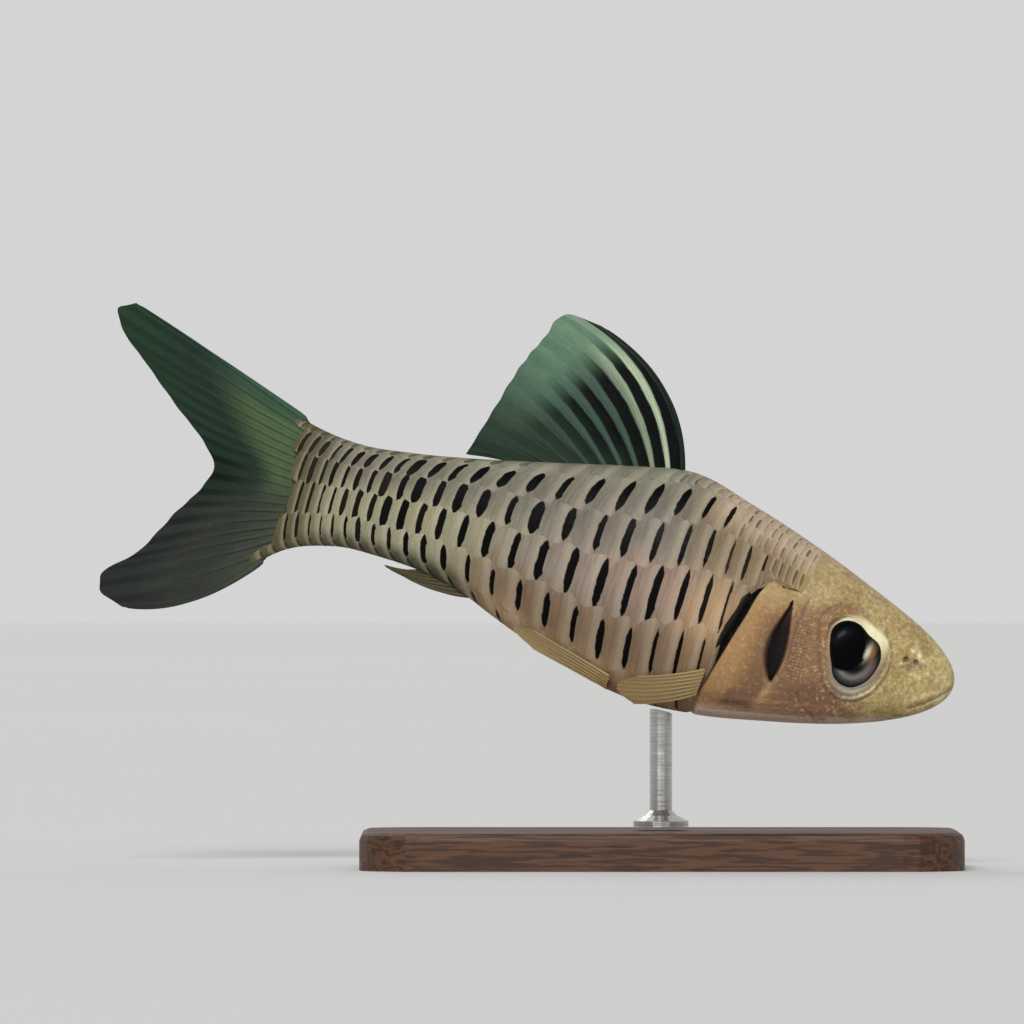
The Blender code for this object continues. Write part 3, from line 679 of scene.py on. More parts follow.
@dataclass(frozen=True)
class ScaleFinish:
    """Large overlapping scales: silver over the flank's paint, which holds some painted light and shade; a
    black bar at the front.
    """
    roughness: float = 0.46
    metallic: float = 0.05
    coat: float = 0.015
    coat_roughness: float = 0.26
    specular: float = 0.05
    black: Color = on_screen(5, 5, 6)
    brown: Color = on_screen(58, 54, 38)
    edge: Color = on_screen(200, 192, 170)
    warm_tint: Color = (1.08, 0.93, 0.90)
    streak_tint: Color = (0.68, 0.67, 0.64)
    rear_tint: Color = (0.80, 0.83, 0.80)

    def make(self) -> Material:
        """The material; its map gives each scale's own coordinates, b across and a backwards.

        Behind the bar the scale is palest, and towards its rear edge greyer. Fine streaks run
        with the bar, and growth rings cross the scale as bumps.

        Returns:
            The material.
        """
        bench = NodeBench.for_material("scale", Metallic=self.metallic, Coat_Weight=self.coat,
                                       Coat_Roughness=self.coat_roughness,
                                       Specular_IOR_Level=self.specular)
        across, back = bench.uv("ScaleMap")
        width, strength, tone = bench.painted("traits").parts("Color")
        place = bench.coordinates()
        cloud = bench.noise(place, 420.0, 4.0, 0.6)
        color = bench.mix(cloud.ease(0.35, 0.7, 0.0, 0.6), bench.painted("paint"), self.warm_tint,
                          "MULTIPLY")
        color = bench.mix(1.0, color, tone.ease(0.0, 1.0, 0.92, 1.06), "MULTIPLY")
        streak = bench.noise(bench.plane(back * 11.0 + tone * 40.0, across * 1.6), 1.0, 4.0, 0.65)
        color = bench.mix(streak.ease(0.62, 0.36, 0.0, 0.65), color, self.streak_tint, "MULTIPLY")
        pale = back.ease(0.10, 0.28, 0.0, 0.20) * back.ease(0.66, 0.34)
        color = bench.mix(pale, color, self.edge)
        color = bench.mix(back.ease(0.55, 1.0, 0.0, 0.55), color, self.rear_tint, "MULTIPLY")
        ink = bench.mix(strength.ease(0.30, 0.75), self.brown, self.black)
        bar = self._bar(across, back, width, bench.painted("traits", "Alpha"),
                        bench.noise(place, 1800.0, 2.0)) * strength.ease(0.0, 0.50)
        rings = bench.math("SINE", (across * across * 0.45 + back) * 62.0)
        return bench.finish(
            bench.mix(bar, color, ink),
            bench.noise(place, 2600.0).ease(0.3, 0.7, self.roughness - 0.07, self.roughness + 0.09),
            (streak, 0.00005, 0.4), (rings, 0.00001, 0.4),
            (bench.noise(place, 3800.0, 3.0), 0.00004, 0.4))

    @staticmethod
    def _bar(across: Wire, back: Wire, width: Wire, height: Wire, wobble: Wire) -> Wire:
        """The bar on a scale, a straight, pointed stroke.

        Its half width is half the bar's width times one less a power of b over its half height,
        and noise makes its edges uneven.

        Args:
            across: The scale's b.
            back: The scale's a.
            width: The bar's width.
            height: Its half height.
            wobble: Noise about 0.5.

        Returns:
            A share from 0 to 1.
        """
        half = (width * 0.5 + 0.03) * (1.0 - (abs(across) / height) ** 3.4) - 0.03
        away = abs(back - (width * 0.5 - 0.03))
        return (half + (wobble - 0.5) * 0.10 - away).ease(-0.025, 0.025)


@dataclass(frozen=True)
class FinFinish:
    """Membrane or rays of a fin: painted, with streaks that follow the rays."""
    name: str
    roughness: float = 0.42
    coat: float = 0.005
    coat_roughness: float = 0.25
    specular: float = 0.04
    streaks: float = 0.24
    ray_share: float = 0.13
    ray_growth: float = 0.20
    dark: Color = on_screen(16, 26, 23)
    grain_tint: Color = (1.35, 1.32, 1.22)

    def make(self) -> Material:
        """The material; its map gives the ray's number and the share of the way to its tip.

        Returns:
            The material.
        """
        bench = NodeBench.for_material(self.name, Coat_Weight=self.coat,
                                       Coat_Roughness=self.coat_roughness,
                                       Specular_IOR_Level=self.specular)
        column, along = bench.uv("FinMap")
        streak = bench.noise(bench.plane(column * 2.6, along * 3.0), 3.0, 5.0, 0.7)
        grain = bench.noise(bench.coordinates(), 2300.0, 4.0, 0.65)
        between = abs(bench.math("FRACT", column + 0.5) - 0.5)
        ray_width = along * self.ray_growth + self.ray_share
        band = ((streak - 0.5) * 0.25 + ray_width - between).ease(-0.05, 0.07)
        color = bench.mix(band, bench.painted("paint"), bench.painted("ray_paint"))
        color = bench.mix(streak.ease(0.35, 0.7, 0.0, 0.75 * self.streaks), color, self.dark)
        color = bench.mix(grain.ease(0.35, 0.75, 0.0, 0.30), color, self.grain_tint, "MULTIPLY")
        return bench.finish(
            color, grain.ease(0.3, 0.7, self.roughness - 0.06, self.roughness + 0.10),
            (streak, 0.00005, 0.6), (grain, 0.00003, 0.5))


@dataclass(frozen=True)
class EyeFinish:
    """A moist eyeball: its iris is painted, under a thin, sharp gloss."""
    roughness: float = 0.40
    specular: float = 0.03
    coat: float = 0.02
    coat_roughness: float = 0.03
    fibre_tint: Color = (0.55, 0.52, 0.50)

    def make(self) -> Material:
        """The material: paint with fine fibres that run out from the pupil.

        Returns:
            The material.
        """
        bench = NodeBench.for_material("eyeball", Roughness=self.roughness, Coat_Weight=self.coat,
                                       Coat_Roughness=self.coat_roughness,
                                       Specular_IOR_Level=self.specular)
        around, out = bench.uv("EyeMap")
        fibre = bench.noise(bench.plane(around * 60.0, out * 5.0), 1.0, 4.0, 0.6)
        return bench.finish(bench.mix(fibre.ease(0.4, 0.75, 0.0, 0.35), bench.painted("paint"),
                                      self.fibre_tint, "MULTIPLY"))


@dataclass(frozen=True)
class WoodFinish:
    """Dark, oiled hardwood with a long grain and fine pores."""
    dark: Color = on_screen(58, 37, 25)
    light: Color = on_screen(88, 58, 38)
    pore: Color = on_screen(24, 15, 10)
    grain_stretch: tuple = (1.0, 12.0, 16.0)
    pore_stretch: tuple = (6.0, 130.0, 130.0)

    def make(self) -> Material:
        """The material: bands from stretched noise, streaky pores, and a satin coat.

        Returns:
            The material.
        """
        bench = NodeBench.for_material("oiled_wood", Coat_Weight=0.05, Coat_Roughness=0.35,
                                       Specular_IOR_Level=0.30)
        waves = bench.noise(bench.coordinates(self.grain_stretch), 34.0, 5.0, 0.6)
        bands = bench.math("SINE", waves * 60.0)
        holes = bench.noise(bench.coordinates(self.pore_stretch), 22.0, 3.0, 0.7).ease(0.60, 0.72)
        color = bench.mix(bands.ease(-1.0, 1.0), self.dark, self.light)
        return bench.finish(bench.mix(holes * 0.8, color, self.pore),
                            waves.ease(0.3, 0.7, 0.50, 0.64), (1.0 - holes, 0.00006, 0.5))


@dataclass(frozen=True)
class SteelFinish:
    """Turned and brushed steel."""
    dark: Color = on_screen(176, 176, 174)
    light: Color = on_screen(214, 214, 212)
    ring_stretch: tuple = (0.02, 0.02, 1.0)

    def make(self) -> Material:
        """The material: fine rings round the rod in its colour, roughness and relief.

        Returns:
            The material.
        """
        bench = NodeBench.for_material("brushed_steel", Metallic=1.0)
        rings = bench.noise(bench.coordinates(self.ring_stretch), 16000.0, 3.0, 0.6)
        smudge = bench.noise(bench.coordinates(), 700.0, 3.0)
        return bench.finish(bench.mix(rings.ease(0.3, 0.7), self.dark, self.light),
                            rings.ease(0.3, 0.7, 0.20, 0.36) + smudge.ease(0.4, 0.7, 0.0, 0.10),
                            (rings, 0.00001, 0.35))


@dataclass(frozen=True)
class StageFinish:
    """A pale, matt studio floor."""
    pale: Color = on_screen(209, 209, 208)
    cloud_tint: Color = (0.97, 0.97, 0.97)

    def make(self) -> Material:
        """The material: one pale tone with a faint unevenness.

        Returns:
            The material.
        """
        bench = NodeBench.for_material("pale_floor", Roughness=0.85)
        cloud = bench.noise(bench.coordinates(), 3.0, 2.0)
        return bench.finish(bench.mix(cloud, self.pale, self.cloud_tint, "MULTIPLY"))


# The paints, as red, green and blue from 0 to 255 on a screen
TONES = {name: np.array(on_screen(*levels)) for name, levels in {
    "silver": (137, 129, 118), "rose": (164, 137, 125), "upper": (111, 107, 96),
    "back": (139, 139, 122), "ridge": (190, 171, 147), "low": (124, 102, 79),
    "belly": (166, 138, 106), "stalk": (153, 151, 125), "keel_shade": (62, 60, 44),
    "tail_root": (90, 85, 61), "shoulder": (184, 152, 114), "crown": (170, 150, 104),
    "nape": (133, 115, 87), "nape_skin": (150, 130, 104), "snout": (180, 161, 108),
    "snout_tip": (198, 186, 134), "lip": (204, 184, 138), "cheek": (142, 109, 78),
    "low_cheek": (120, 90, 76), "throat": (165, 125, 101), "cover": (165, 128, 86),
    "cover_shade": (120, 90, 64), "low_cover": (128, 99, 78), "cover_band": (196, 160, 118),
    "gap_shade": (12, 10, 12), "lens": (10, 6, 11), "lens_top": (56, 44, 32),
    "eye_ring": (240, 232, 190), "tan_ring": (150, 124, 98), "low_ring": (158, 152, 138),
    "fold": (96, 80, 70), "brow": (130, 92, 58), "under": (252, 230, 210),
    "nostril": (138, 122, 100), "green": (150, 160, 110), "glint_fleck": (246, 236, 190),
    "dorsal_crown": (96, 126, 103), "dorsal_mid": (20, 33, 27), "dorsal_rear": (38, 51, 40),
    "dorsal_ray": (64, 85, 73), "dorsal_front_ray": (184, 200, 168), "fin_black": (6, 10, 9),
    "upper_base": (78, 97, 66), "upper_mid": (34, 49, 40), "upper_tip": (34, 54, 38),
    "teal": (66, 96, 76), "fork": (15, 24, 16), "lower_base": (66, 70, 59),
    "lower_mid": (50, 51, 48), "lower_tip": (37, 36, 36), "pale": (140, 119, 82),
    "pale_ray": (158, 138, 98), "anal": (56, 56, 40), "pupil": (2, 3, 5), "iris": (14, 14, 13),
    "slate": (52, 60, 62), "grey": (126, 126, 120), "mauve": (116, 98, 94),
    "eye_glint": (214, 206, 180), "amber": (150, 98, 56), "eye_rim": (30, 21, 16),
}.items()}


def plain(name: str, like: Array) -> Array:
    """One tone at every point of an array."""
    return np.broadcast_to(TONES[name], like.shape + (3,))


def coats(paint: Array, *layers: tuple[str, Number]) -> Array:
    """Lay tones over a paint, each by its share of the way from what is there to the tone.

    Args:
        paint: Linear colours.
        *layers: The name of each tone and its share at each point, from the lowest up.

    Returns:
        The new colours.
    """
    for name, share in layers:
        paint = paint + (TONES[name] - paint) * np.asarray(np.clip(share, 0.0, 1.0))[..., None]
    return paint


class BodyPaint:
    """The fish's colours as fields over its skin, with some painted light and shade among them, shared by
    the skin and the scales.
    """

    @staticmethod
    def flank(s: Array, h: Array) -> Array:
        """The trunk and stalk: silver beige, olive on the back, gold on the belly and stalk, a painted
        sheen along the nape's top and painted shade along the stalk's underside.

        Args:
            s: Places.
            h: Heights.

        Returns:
            Linear colours.
        """
        level = FORM.level(s, h)
        return coats(
            plain("silver", s),
            ("rose", 0.65 * hill(s, 0.47, 0.10) * hill(level, 0.50, 0.20)),
            ("shoulder", 0.85 * rise(0.46, 0.36, s)),
            ("stalk", rise(0.60, 0.78, s)),
            ("upper", 0.85 * rise(0.50, 0.76, level)),
            ("back", 0.8 * rise(0.80, 0.98, level)),
            ("low", 0.85 * rise(0.44, 0.24, level) * rise(0.80, 0.64, s)),
            ("belly", rise(0.18, 0.05, level) * rise(0.80, 0.64, s)),
            # Painted shade: dark olive along the stalk's underside
            ("keel_shade", 0.85 * rise(0.19, 0.05, level) * rise(0.66, 0.76, s)),
            ("tail_root", 0.90 * rise(0.925, 0.985, s)),
            ("nape", 0.95 * rise(0.47, 0.35, s) * rise(0.56, 0.78, level)),
            ("crown", 0.85 * rise(0.290, 0.242, s) * rise(0.50, 0.62, level)),
            # Painted sheen: paler along the top of the nape
            ("ridge", 0.85 * rise(0.45, 0.37, s) * rise(0.80, 0.93, level)))

    @staticmethod
    def head(s: Array, h: Array) -> Array:
        """The head in front of the gill line, from crown to throat, with painted light on the throat and
        along the underside.

        Args:
            s: Places.
            h: Heights.

        Returns:
            Linear colours.
        """
        level = FORM.level(s, h)
        cover = rise(0.250, 0.272, s) * rise(0.09, 0.05, h)
        slope = h + 0.110 + 0.25 * (s - 0.298)
        turned = s + 0.29 * slope
        return coats(
            plain("crown", s),
            ("nape_skin", 0.8 * rise(0.222, 0.250, s) * rise(0.6, 0.9, level)),
            ("snout", rise(0.15, 0.07, s) * (1.0 - 0.55 * rise(0.015, 0.05, h))),
            ("snout_tip", 0.7 * rise(0.05, 0.012, s)),
            ("green", 0.30 * rise(0.022, 0.004, s)),
            ("cheek", rise(0.115, 0.185, s) * rise(0.062, 0.030, h)),
            ("low_cheek", 0.85 * rise(0.115, 0.165, s) * rise(0.262, 0.225, s)
             * rise(-0.040, -0.078, h + 0.25 * (s - 0.2))),
            ("cover", cover),
            ("crown", 0.55 * cover * rise(0.010, 0.050, h)),
            ("cover_shade", 0.85 * cover * rise(0.312, 0.280, s + 0.10 * h) * rise(0.040, 0.0, h)),
            # The throat's own pinkish tone, painted paler as painted light on the shaded underside
            ("throat", 0.75 * rise(0.20, 0.07, level) * rise(0.11, 0.17, s) * rise(0.345, 0.300, s)),
            ("low_cover", 0.9 * rise(0.025, 0.017, np.abs(turned - 0.2965))
             * rise(0.0175, 0.0110, np.abs(slope))),
            ("cover_band", 0.8 * hill(turned, 0.264, 0.0065) * hill(slope, 0.004, 0.022)),
            # Painted light: a pale rim along the head's underside, brighter than the lamps leave it
            ("under", 0.90 * rise(0.070, 0.018, level) * rise(0.04, 0.10, s)))


@dataclass(frozen=True)
class EyeSocket:
    """The egg-shaped opening of an eye, and the flattened globe that stands in it."""
    place: float = 0.1515
    height: float = -0.0035
    stands_out: float = 0.00045
    globe_radius: float = 0.00305
    globe_half_thickness: float = 0.0016
    globe_power: float = 3.0
    fold: float = 1.42
    # How much of the flank's slope along the fish the globe takes
    tilt_share: float = 0.9
    # Angle from the front, counted up and over to the back, and the opening's radius in mm
    opening: tuple = ((16.4, 2.11), (33.0, 2.10), (72.4, 1.92), (104.4, 2.57), (122.4, 2.84),
                      (146.4, 2.79), (166.4, 2.34), (196.4, 2.04), (217.4, 2.07), (247.4, 2.58),
                      (273.4, 2.74), (300.4, 2.50), (331.4, 2.18))

    def offset(self, s: Array, h: Array) -> Pair:
        """Distances in metres in front of the eye's axis and above it."""
        return (self.place - s) * LENGTH, (h - self.height) * LENGTH

    def polar(self, s: Array, h: Array) -> tuple[Array, Array, Array]:
        """Where a point lies round the eye.

        The opening's radius is read from a smooth curve that runs on round the circle.

        Args:
            s: Places.
            h: Heights.

        Returns:
            Distance from the eye's middle in metres, angle from the front in degrees, and the
            distance as a share of the opening's radius.
        """
        ahead, above = self.offset(s, h)
        away, angle = np.hypot(ahead, above), np.degrees(np.arctan2(above, ahead)) % 360.0
        knots = tuple((at + turn, radius * MM) for turn in (-360.0, 0.0, 360.0)
                      for at, radius in self.opening)
        return away, angle, away / smooth_through(angle, knots)[..., 0]

    def tilt(self) -> Spot:
        """How the flank lies at the eye.

        Returns:
            Its slopes, in metres of side per metre along and per metre up.
        """
        step = 0.02
        places = self.place + step * np.array((1.0, -1.0, 0.0, 0.0))
        heights = self.height + step * np.array((0.0, 0.0, 1.0, -1.0))
        reach = FORM.flank(places, heights) / (2.0 * step * LENGTH)
        return self.tilt_share * float(reach[1] - reach[0]), float(reach[2] - reach[3])

    def globe(self, ahead: Array, above: Array) -> Array:
        """How far the globe stands from the middle plane.

        The dome is one less the cube of the share of the radius, to the power one half, times
        the half thickness. It leans with the flank, so the slopes are added.

        Args:
            ahead: Distance in front of the eye's axis in metres.
            above: Distance over the eye's axis in metres.

        Returns:
            The sideways distance of its surface in metres.
        """
        reach = FORM.flank(np.array(self.place), np.array(self.height)) + self.stands_out
        share = np.clip(np.hypot(ahead, above) / self.globe_radius, 0.0, 1.0) ** self.globe_power
        lean = self.tilt()
        dome = self.globe_half_thickness * (np.sqrt(1.0 - share) - 1.0)
        return reach + dome + lean[0] * ahead + lean[1] * above

    def skin(self, s: Array, h: Array, flank: Array) -> Array:
        """The skin's sideways distance round the eye.

        Inside the opening it lies under the globe; at the opening it hugs the globe, rises to a
        rounded lip, slopes down a flat ring and ends in a fine fold.

        Args:
            s: Places.
            h: Heights.
            flank: The plain skin's sideways distance.

        Returns:
            The shaped sideways distance.
        """
        away, angle, ratio = self.polar(s, h)
        globe = self.globe(*self.offset(s, h))
        lip = 0.10 * MM * hill(ratio, 1.14, 0.10) + 0.04 * MM * hill(ratio, 1.28, 0.08)
        fold = 0.10 * MM * hill(ratio, self.fold, 0.045)
        fold += 0.06 * MM * hill(ratio, self.fold - 0.16, 0.04) * rise(190.0, 240.0, angle)
        hug = globe + 0.06 * MM - 0.5 * MM * rise(1.0, 0.90, ratio)
        cover = np.where(away < self.globe_radius * 1.02, globe + 0.08 * MM, -1.0)
        free = np.maximum(flank + lip - fold, cover)
        return np.where(ratio < 1.6, hug + (free - hug) * rise(0.99, 1.14, ratio), flank)


@dataclass(frozen=True)
class HeadRelief:
    """Everything that stands out of or sinks into the head's skin, beside the eyes."""
    eye: EyeSocket = EyeSocket()
    mouth_corner: Spot = (0.055, -0.058)
    mouth_front: float = -0.011
    mouth_droop: float = 0.35
    mouth_depth: float = 0.13 * MM
    lip_height: float = 0.12 * MM
    nostril: Spot = (0.071, 0.010)
    nostril_spread: float = 0.0075
    nostril_depth: float = 0.30 * MM
    nostril_flap: float = 0.09 * MM
    lens_top: Spot = (0.2600, 0.050)
    lens_bottom: Spot = (0.2580, -0.078)
    lens_bow: float = 0.0045
    lens_half_width: float = 0.0140
    lens_depth: float = 0.70 * MM
    cover_raise: float = 0.20 * MM
    fold_depth: float = 0.11 * MM
    brow_raise: float = 0.08 * MM
    # Place, height and size of the painted highlights beside the nostril: pale flecks where light catches
    # the snout's wrinkles and pores
    glint_flecks: tuple = ((0.0615, 0.0205, 0.0038), (0.0525, 0.0152, 0.0030), (0.0560, -0.0110, 0.0040),
                     (0.0720, 0.0240, 0.0030), (0.0400, -0.0010, 0.0034), (0.0830, 0.0030, 0.0026),
                     (0.0660, -0.0090, 0.0028))

    def mouth(self, s: Array, h: Array) -> Pair:
        """Where a point lies by the mouth, whose line droops from its front to its corner.

        Args:
            s: Places.
            h: Heights.

        Returns:
            Heights above the line in metres, and shares from 1 in the mouth to 0 behind it.
        """
        share = np.clip(s / self.mouth_corner[0], 0.0, 1.0)
        fall = share * (1.0 + self.mouth_droop * (1.0 - share))
        line = self.mouth_front + (self.mouth_corner[1] - self.mouth_front) * fall
        within = rise(self.mouth_corner[0] + 0.006, self.mouth_corner[0] - 0.004, s)
        return (h - line) * LENGTH * 0.8, within

    def lens(self, s: Array, h: Array) -> Array:
        """The dark gap in front of the gill cover, a bowed lens.

        Its half width follows a power of a sine from its top to its bottom.

        Args:
            s: Places.
            h: Heights.

        Returns:
            Shares from 1 inside the lens to 0 outside it.
        """
        (s0, h0), (s1, h1) = self.lens_top, self.lens_bottom
        share = (h0 - h) / (h0 - h1)
        t = np.clip(share, 0.0, 1.0)
        bulge = np.sin(math.pi * t**1.42) ** 0.92
        away = (s - s0 - (s1 - s0) * t - self.lens_bow * bulge) / (self.lens_half_width * bulge + 1e-4)
        within = rise(0.0, 0.03, share) * rise(1.0, 0.97, share)
        return within * rise(1.15, 0.80, -away) * rise(1.40, 0.60, away)

    def nostrils(self, s: Array, h: Array) -> Pair:
        """The two pits of a nostril, and the flap of skin between them.

        Args:
            s: Places.
            h: Heights.

        Returns:
            The strengths of both.
        """
        ahead = np.abs(s - self.nostril[0])
        pits = rise(0.0050, 0.0018, np.hypot(ahead - self.nostril_spread, h - self.nostril[1]))
        return pits, hill(ahead, 0.0, 0.0035) * hill(h, self.nostril[1] + 0.002, 0.0075)

    def folds(self, s: Array, h: Array) -> Array:
        """Creases of the cheek and the gill cover, each 1 at its middle.

        One runs down behind the cheek and bows forward under the eye, and three lie along the
        throat.

        Args:
            s: Places.
            h: Heights.

        Returns:
            The creases' strength.
        """
        cheek = curve(h, (-0.12, 0.165), (-0.10, 0.200), (-0.06, 0.232), (0.0, 0.243), (0.06, 0.236))
        crease = hill(s, cheek, 0.0022) * rise(0.065, 0.045, h) * rise(-0.128, -0.10, h)
        throat = sum(hill(h, -0.098 - step * 0.011 - 0.20 * (s - 0.24), 0.0017) for step in range(3))
        return np.maximum(crease, 0.4 * throat * rise(0.190, 0.215, s) * rise(0.345, 0.325, s))

    @staticmethod
    def cover_span(h: Array) -> Array:
        """Where the gill cover stands out: between its top and its bottom."""
        return rise(0.060, 0.046, h) * rise(-0.128, -0.112, h)

    def shaped(self, s: Array, side: Array, h: Array) -> Array:
        """The head's sideways distances with all relief, alike on both flanks.

        The heights of the lips, flaps, pits, creases and brows are added as bells; near the
        middle plane they fade out.

        Args:
            s: Places.
            side: Sideways distances of the plain skin.
            h: Heights.

        Returns:
            Shaped sideways distances.
        """
        flank = np.abs(side)
        height, within = self.mouth(s, h)
        lips = hill(height, 0.42 * MM, 0.30 * MM) + 0.9 * hill(height, -0.38 * MM, 0.28 * MM)
        pits, flap = self.nostrils(s, h)
        marks = (self.nostril_flap * flap - self.nostril_depth * pits
                 - self.lens_depth * self.lens(s, h) - self.fold_depth * self.folds(s, h)
                 + self.cover_raise * rise(0.262, 0.280, s) * self.cover_span(h)
                 + self.brow_raise * hill(s, 0.105, 0.05) * hill(h, 0.045, 0.02))
        marks *= rise(0.25, 0.55, flank / np.maximum(FORM.outline(s)[2], 1e-6))
        mouth = within * (self.lip_height * lips - self.mouth_depth * hill(height, 0.0, 0.12 * MM))
        change = (marks + mouth) * rise(0.0, 0.3, flank / (0.6 * MM))
        return np.sign(side) * self.eye.skin(s, h, flank + change)

    def paint(self, s: Array, h: Array) -> Pair:
        """The head's colours with the marks that belong to its relief: painted shade in its pits, creases
        and gaps, and painted highlights beside the nostril.

        Args:
            s: Places.
            h: Heights.

        Returns:
            Linear colours, and the strengths of the freckles, beads and mottles and of all three.
        """
        height, within = self.mouth(s, h)
        lips = np.maximum(hill(height, 0.45 * MM, 0.34 * MM), hill(height, -0.40 * MM, 0.30 * MM))
        # Painted highlights: pale flecks beside the nostril, where light catches the snout's wrinkles
        glint_flecks = [("glint_fleck", 0.8 * hill(np.hypot(s - place, h - up), 0.0, size))
                  for place, up, size in self.glint_flecks]
        _, angle, ratio = self.eye.polar(s, h)
        width = 0.05 + 0.38 * facing(angle, 60.0, 40.0) + 0.13 * facing(angle, 285.0, 60.0)
        ring = rise(0.90, 1.00, ratio) * rise(1.09 + 1.1 * width, 0.97 + 0.9 * width, ratio)
        lit = 1.1 * facing(angle, 56.0, 48.0) + 0.5 * facing(angle, 122.0, 18.0)
        gap = self.lens(s, h)
        around = rise(0.030, 0.012, np.abs(s - 0.262)) * rise(0.05, 0.0, h)
        paint = coats(
            BodyPaint.head(s, h),
            ("lip", 0.6 * within * lips),
            # Painted shade along the mouth's groove
            ("low_cheek", 0.4 * within * hill(height, 0.0, 0.09 * MM)),
            ("nostril", 0.55 * rise(1.25, 0.5, np.hypot((s - 0.068) / 0.020, (h - 0.006) / 0.012))),
            # Painted shade in the nostril's two pits
            ("fold", 0.85 * self.nostrils(s, h)[0]),
            *glint_flecks,
            ("brow", 0.85 * rise(1.75, 1.15, ratio) * facing(angle, 128.0, 30.0)),
            ("tan_ring", ring),
            ("eye_ring", ring * np.clip(lit, 0.0, 1.0)),
            ("low_ring", 0.95 * ring * facing(angle, 285.0, 52.0)),
            # Painted shade along the fine fold round the eye, strongest below it
            ("fold", 0.75 * hill(ratio, self.eye.fold, 0.05)
             * (0.35 + 0.65 * facing(angle, 265.0, 75.0))),
            ("eye_ring", 0.55 * hill(ratio, self.eye.fold - 0.13, 0.06) * facing(angle, 300.0, 45.0)),
            # Painted shade: black on the skin inside the eye's opening, under the globe's edge
            ("gap_shade", rise(0.99, 0.93, ratio)),
            # Painted shade: brown round the lower part of the lens
            ("low_cheek", 0.35 * around * rise(-0.10, -0.07, h)),
            # Painted shade in the recess of the lens: black below, olive brown at its top
            ("lens", gap),
            ("lens_top", 0.8 * gap * rise(0.0, 0.040, h)),
            # Painted shade along the creases of the cheek and the throat
            ("low_cheek", 0.7 * self.folds(s, h)))
        clear = (1.0 - 0.6 * ring) * (1.0 - gap)
        beaded = (rise(0.208, 0.226, s) * rise(0.249, 0.238, s)
                  * rise(0.040, 0.005, h) * rise(-0.080, -0.045, h))
        return paint, clear[..., None] * stacked(0.25 + 0.75 * rise(0.16, 0.22, s), beaded,
                                                 rise(0.27, 0.16, s), np.ones_like(s))


@dataclass
class ScaleLattice:
    """Where the scales' roots stand: rows round the body, columns that widen over the flank."""
    rows: int = 12
    # Place and distance between neighbouring scales of a row, in standard lengths
    pitch: tuple = ((0.0, 0.020), (0.30, 0.023), (0.36, 0.027), (0.41, 0.035), (0.50, 0.0405),
                    (0.58, 0.0450), (0.65, 0.0430), (0.70, 0.0400), (0.75, 0.0340),
                    (0.80, 0.0280), (0.85, 0.0240), (0.90, 0.0205), (0.95, 0.0165),
                    (1.1, 0.0140))
    samples: int = 1500
    span: Spot = (0.20, 1.06)
    phase: float = 0.05
    lean: float = 0.08
    front_lean: float = 0.17
    rear_spread: float = 0.07

    def __post_init__(self) -> None:
        """Number the places: the number grows by one over each pitch."""
        self._places = np.linspace(*self.span, self.samples)
        rate = 1.0 / np.interp(self._places, *np.array(self.pitch).T)
        steps = np.diff(self._places) * 0.5 * (rate[1:] + rate[:-1])
        self._numbers = np.concatenate(([0.0], np.cumsum(steps))) + self.phase
        self.columns = float(self._numbers[-1])

    def angle(self, share: Array, s: Array) -> Array:
        """Angle round the section of a share of the girth.

        The rows lie a little nearer the back than even shares, and more so behind the gills.

        Args:
            share: Shares of the way round.
            s: Places.

        Returns:
            Angles round the section.
        """
        lean = self.lean + self.front_lean * rise(0.50, 0.36, s)
        spread = self.rear_spread * rise(0.62, 0.78, s)
        return (FORM.girth_angle(share) - lean * np.sin(TURN * share)
                - spread * np.sin(2.0 * TURN * share))

    def place(self, number: Array) -> Array:
        """Place of a column number."""
        return np.interp(number, self._numbers, self._places)


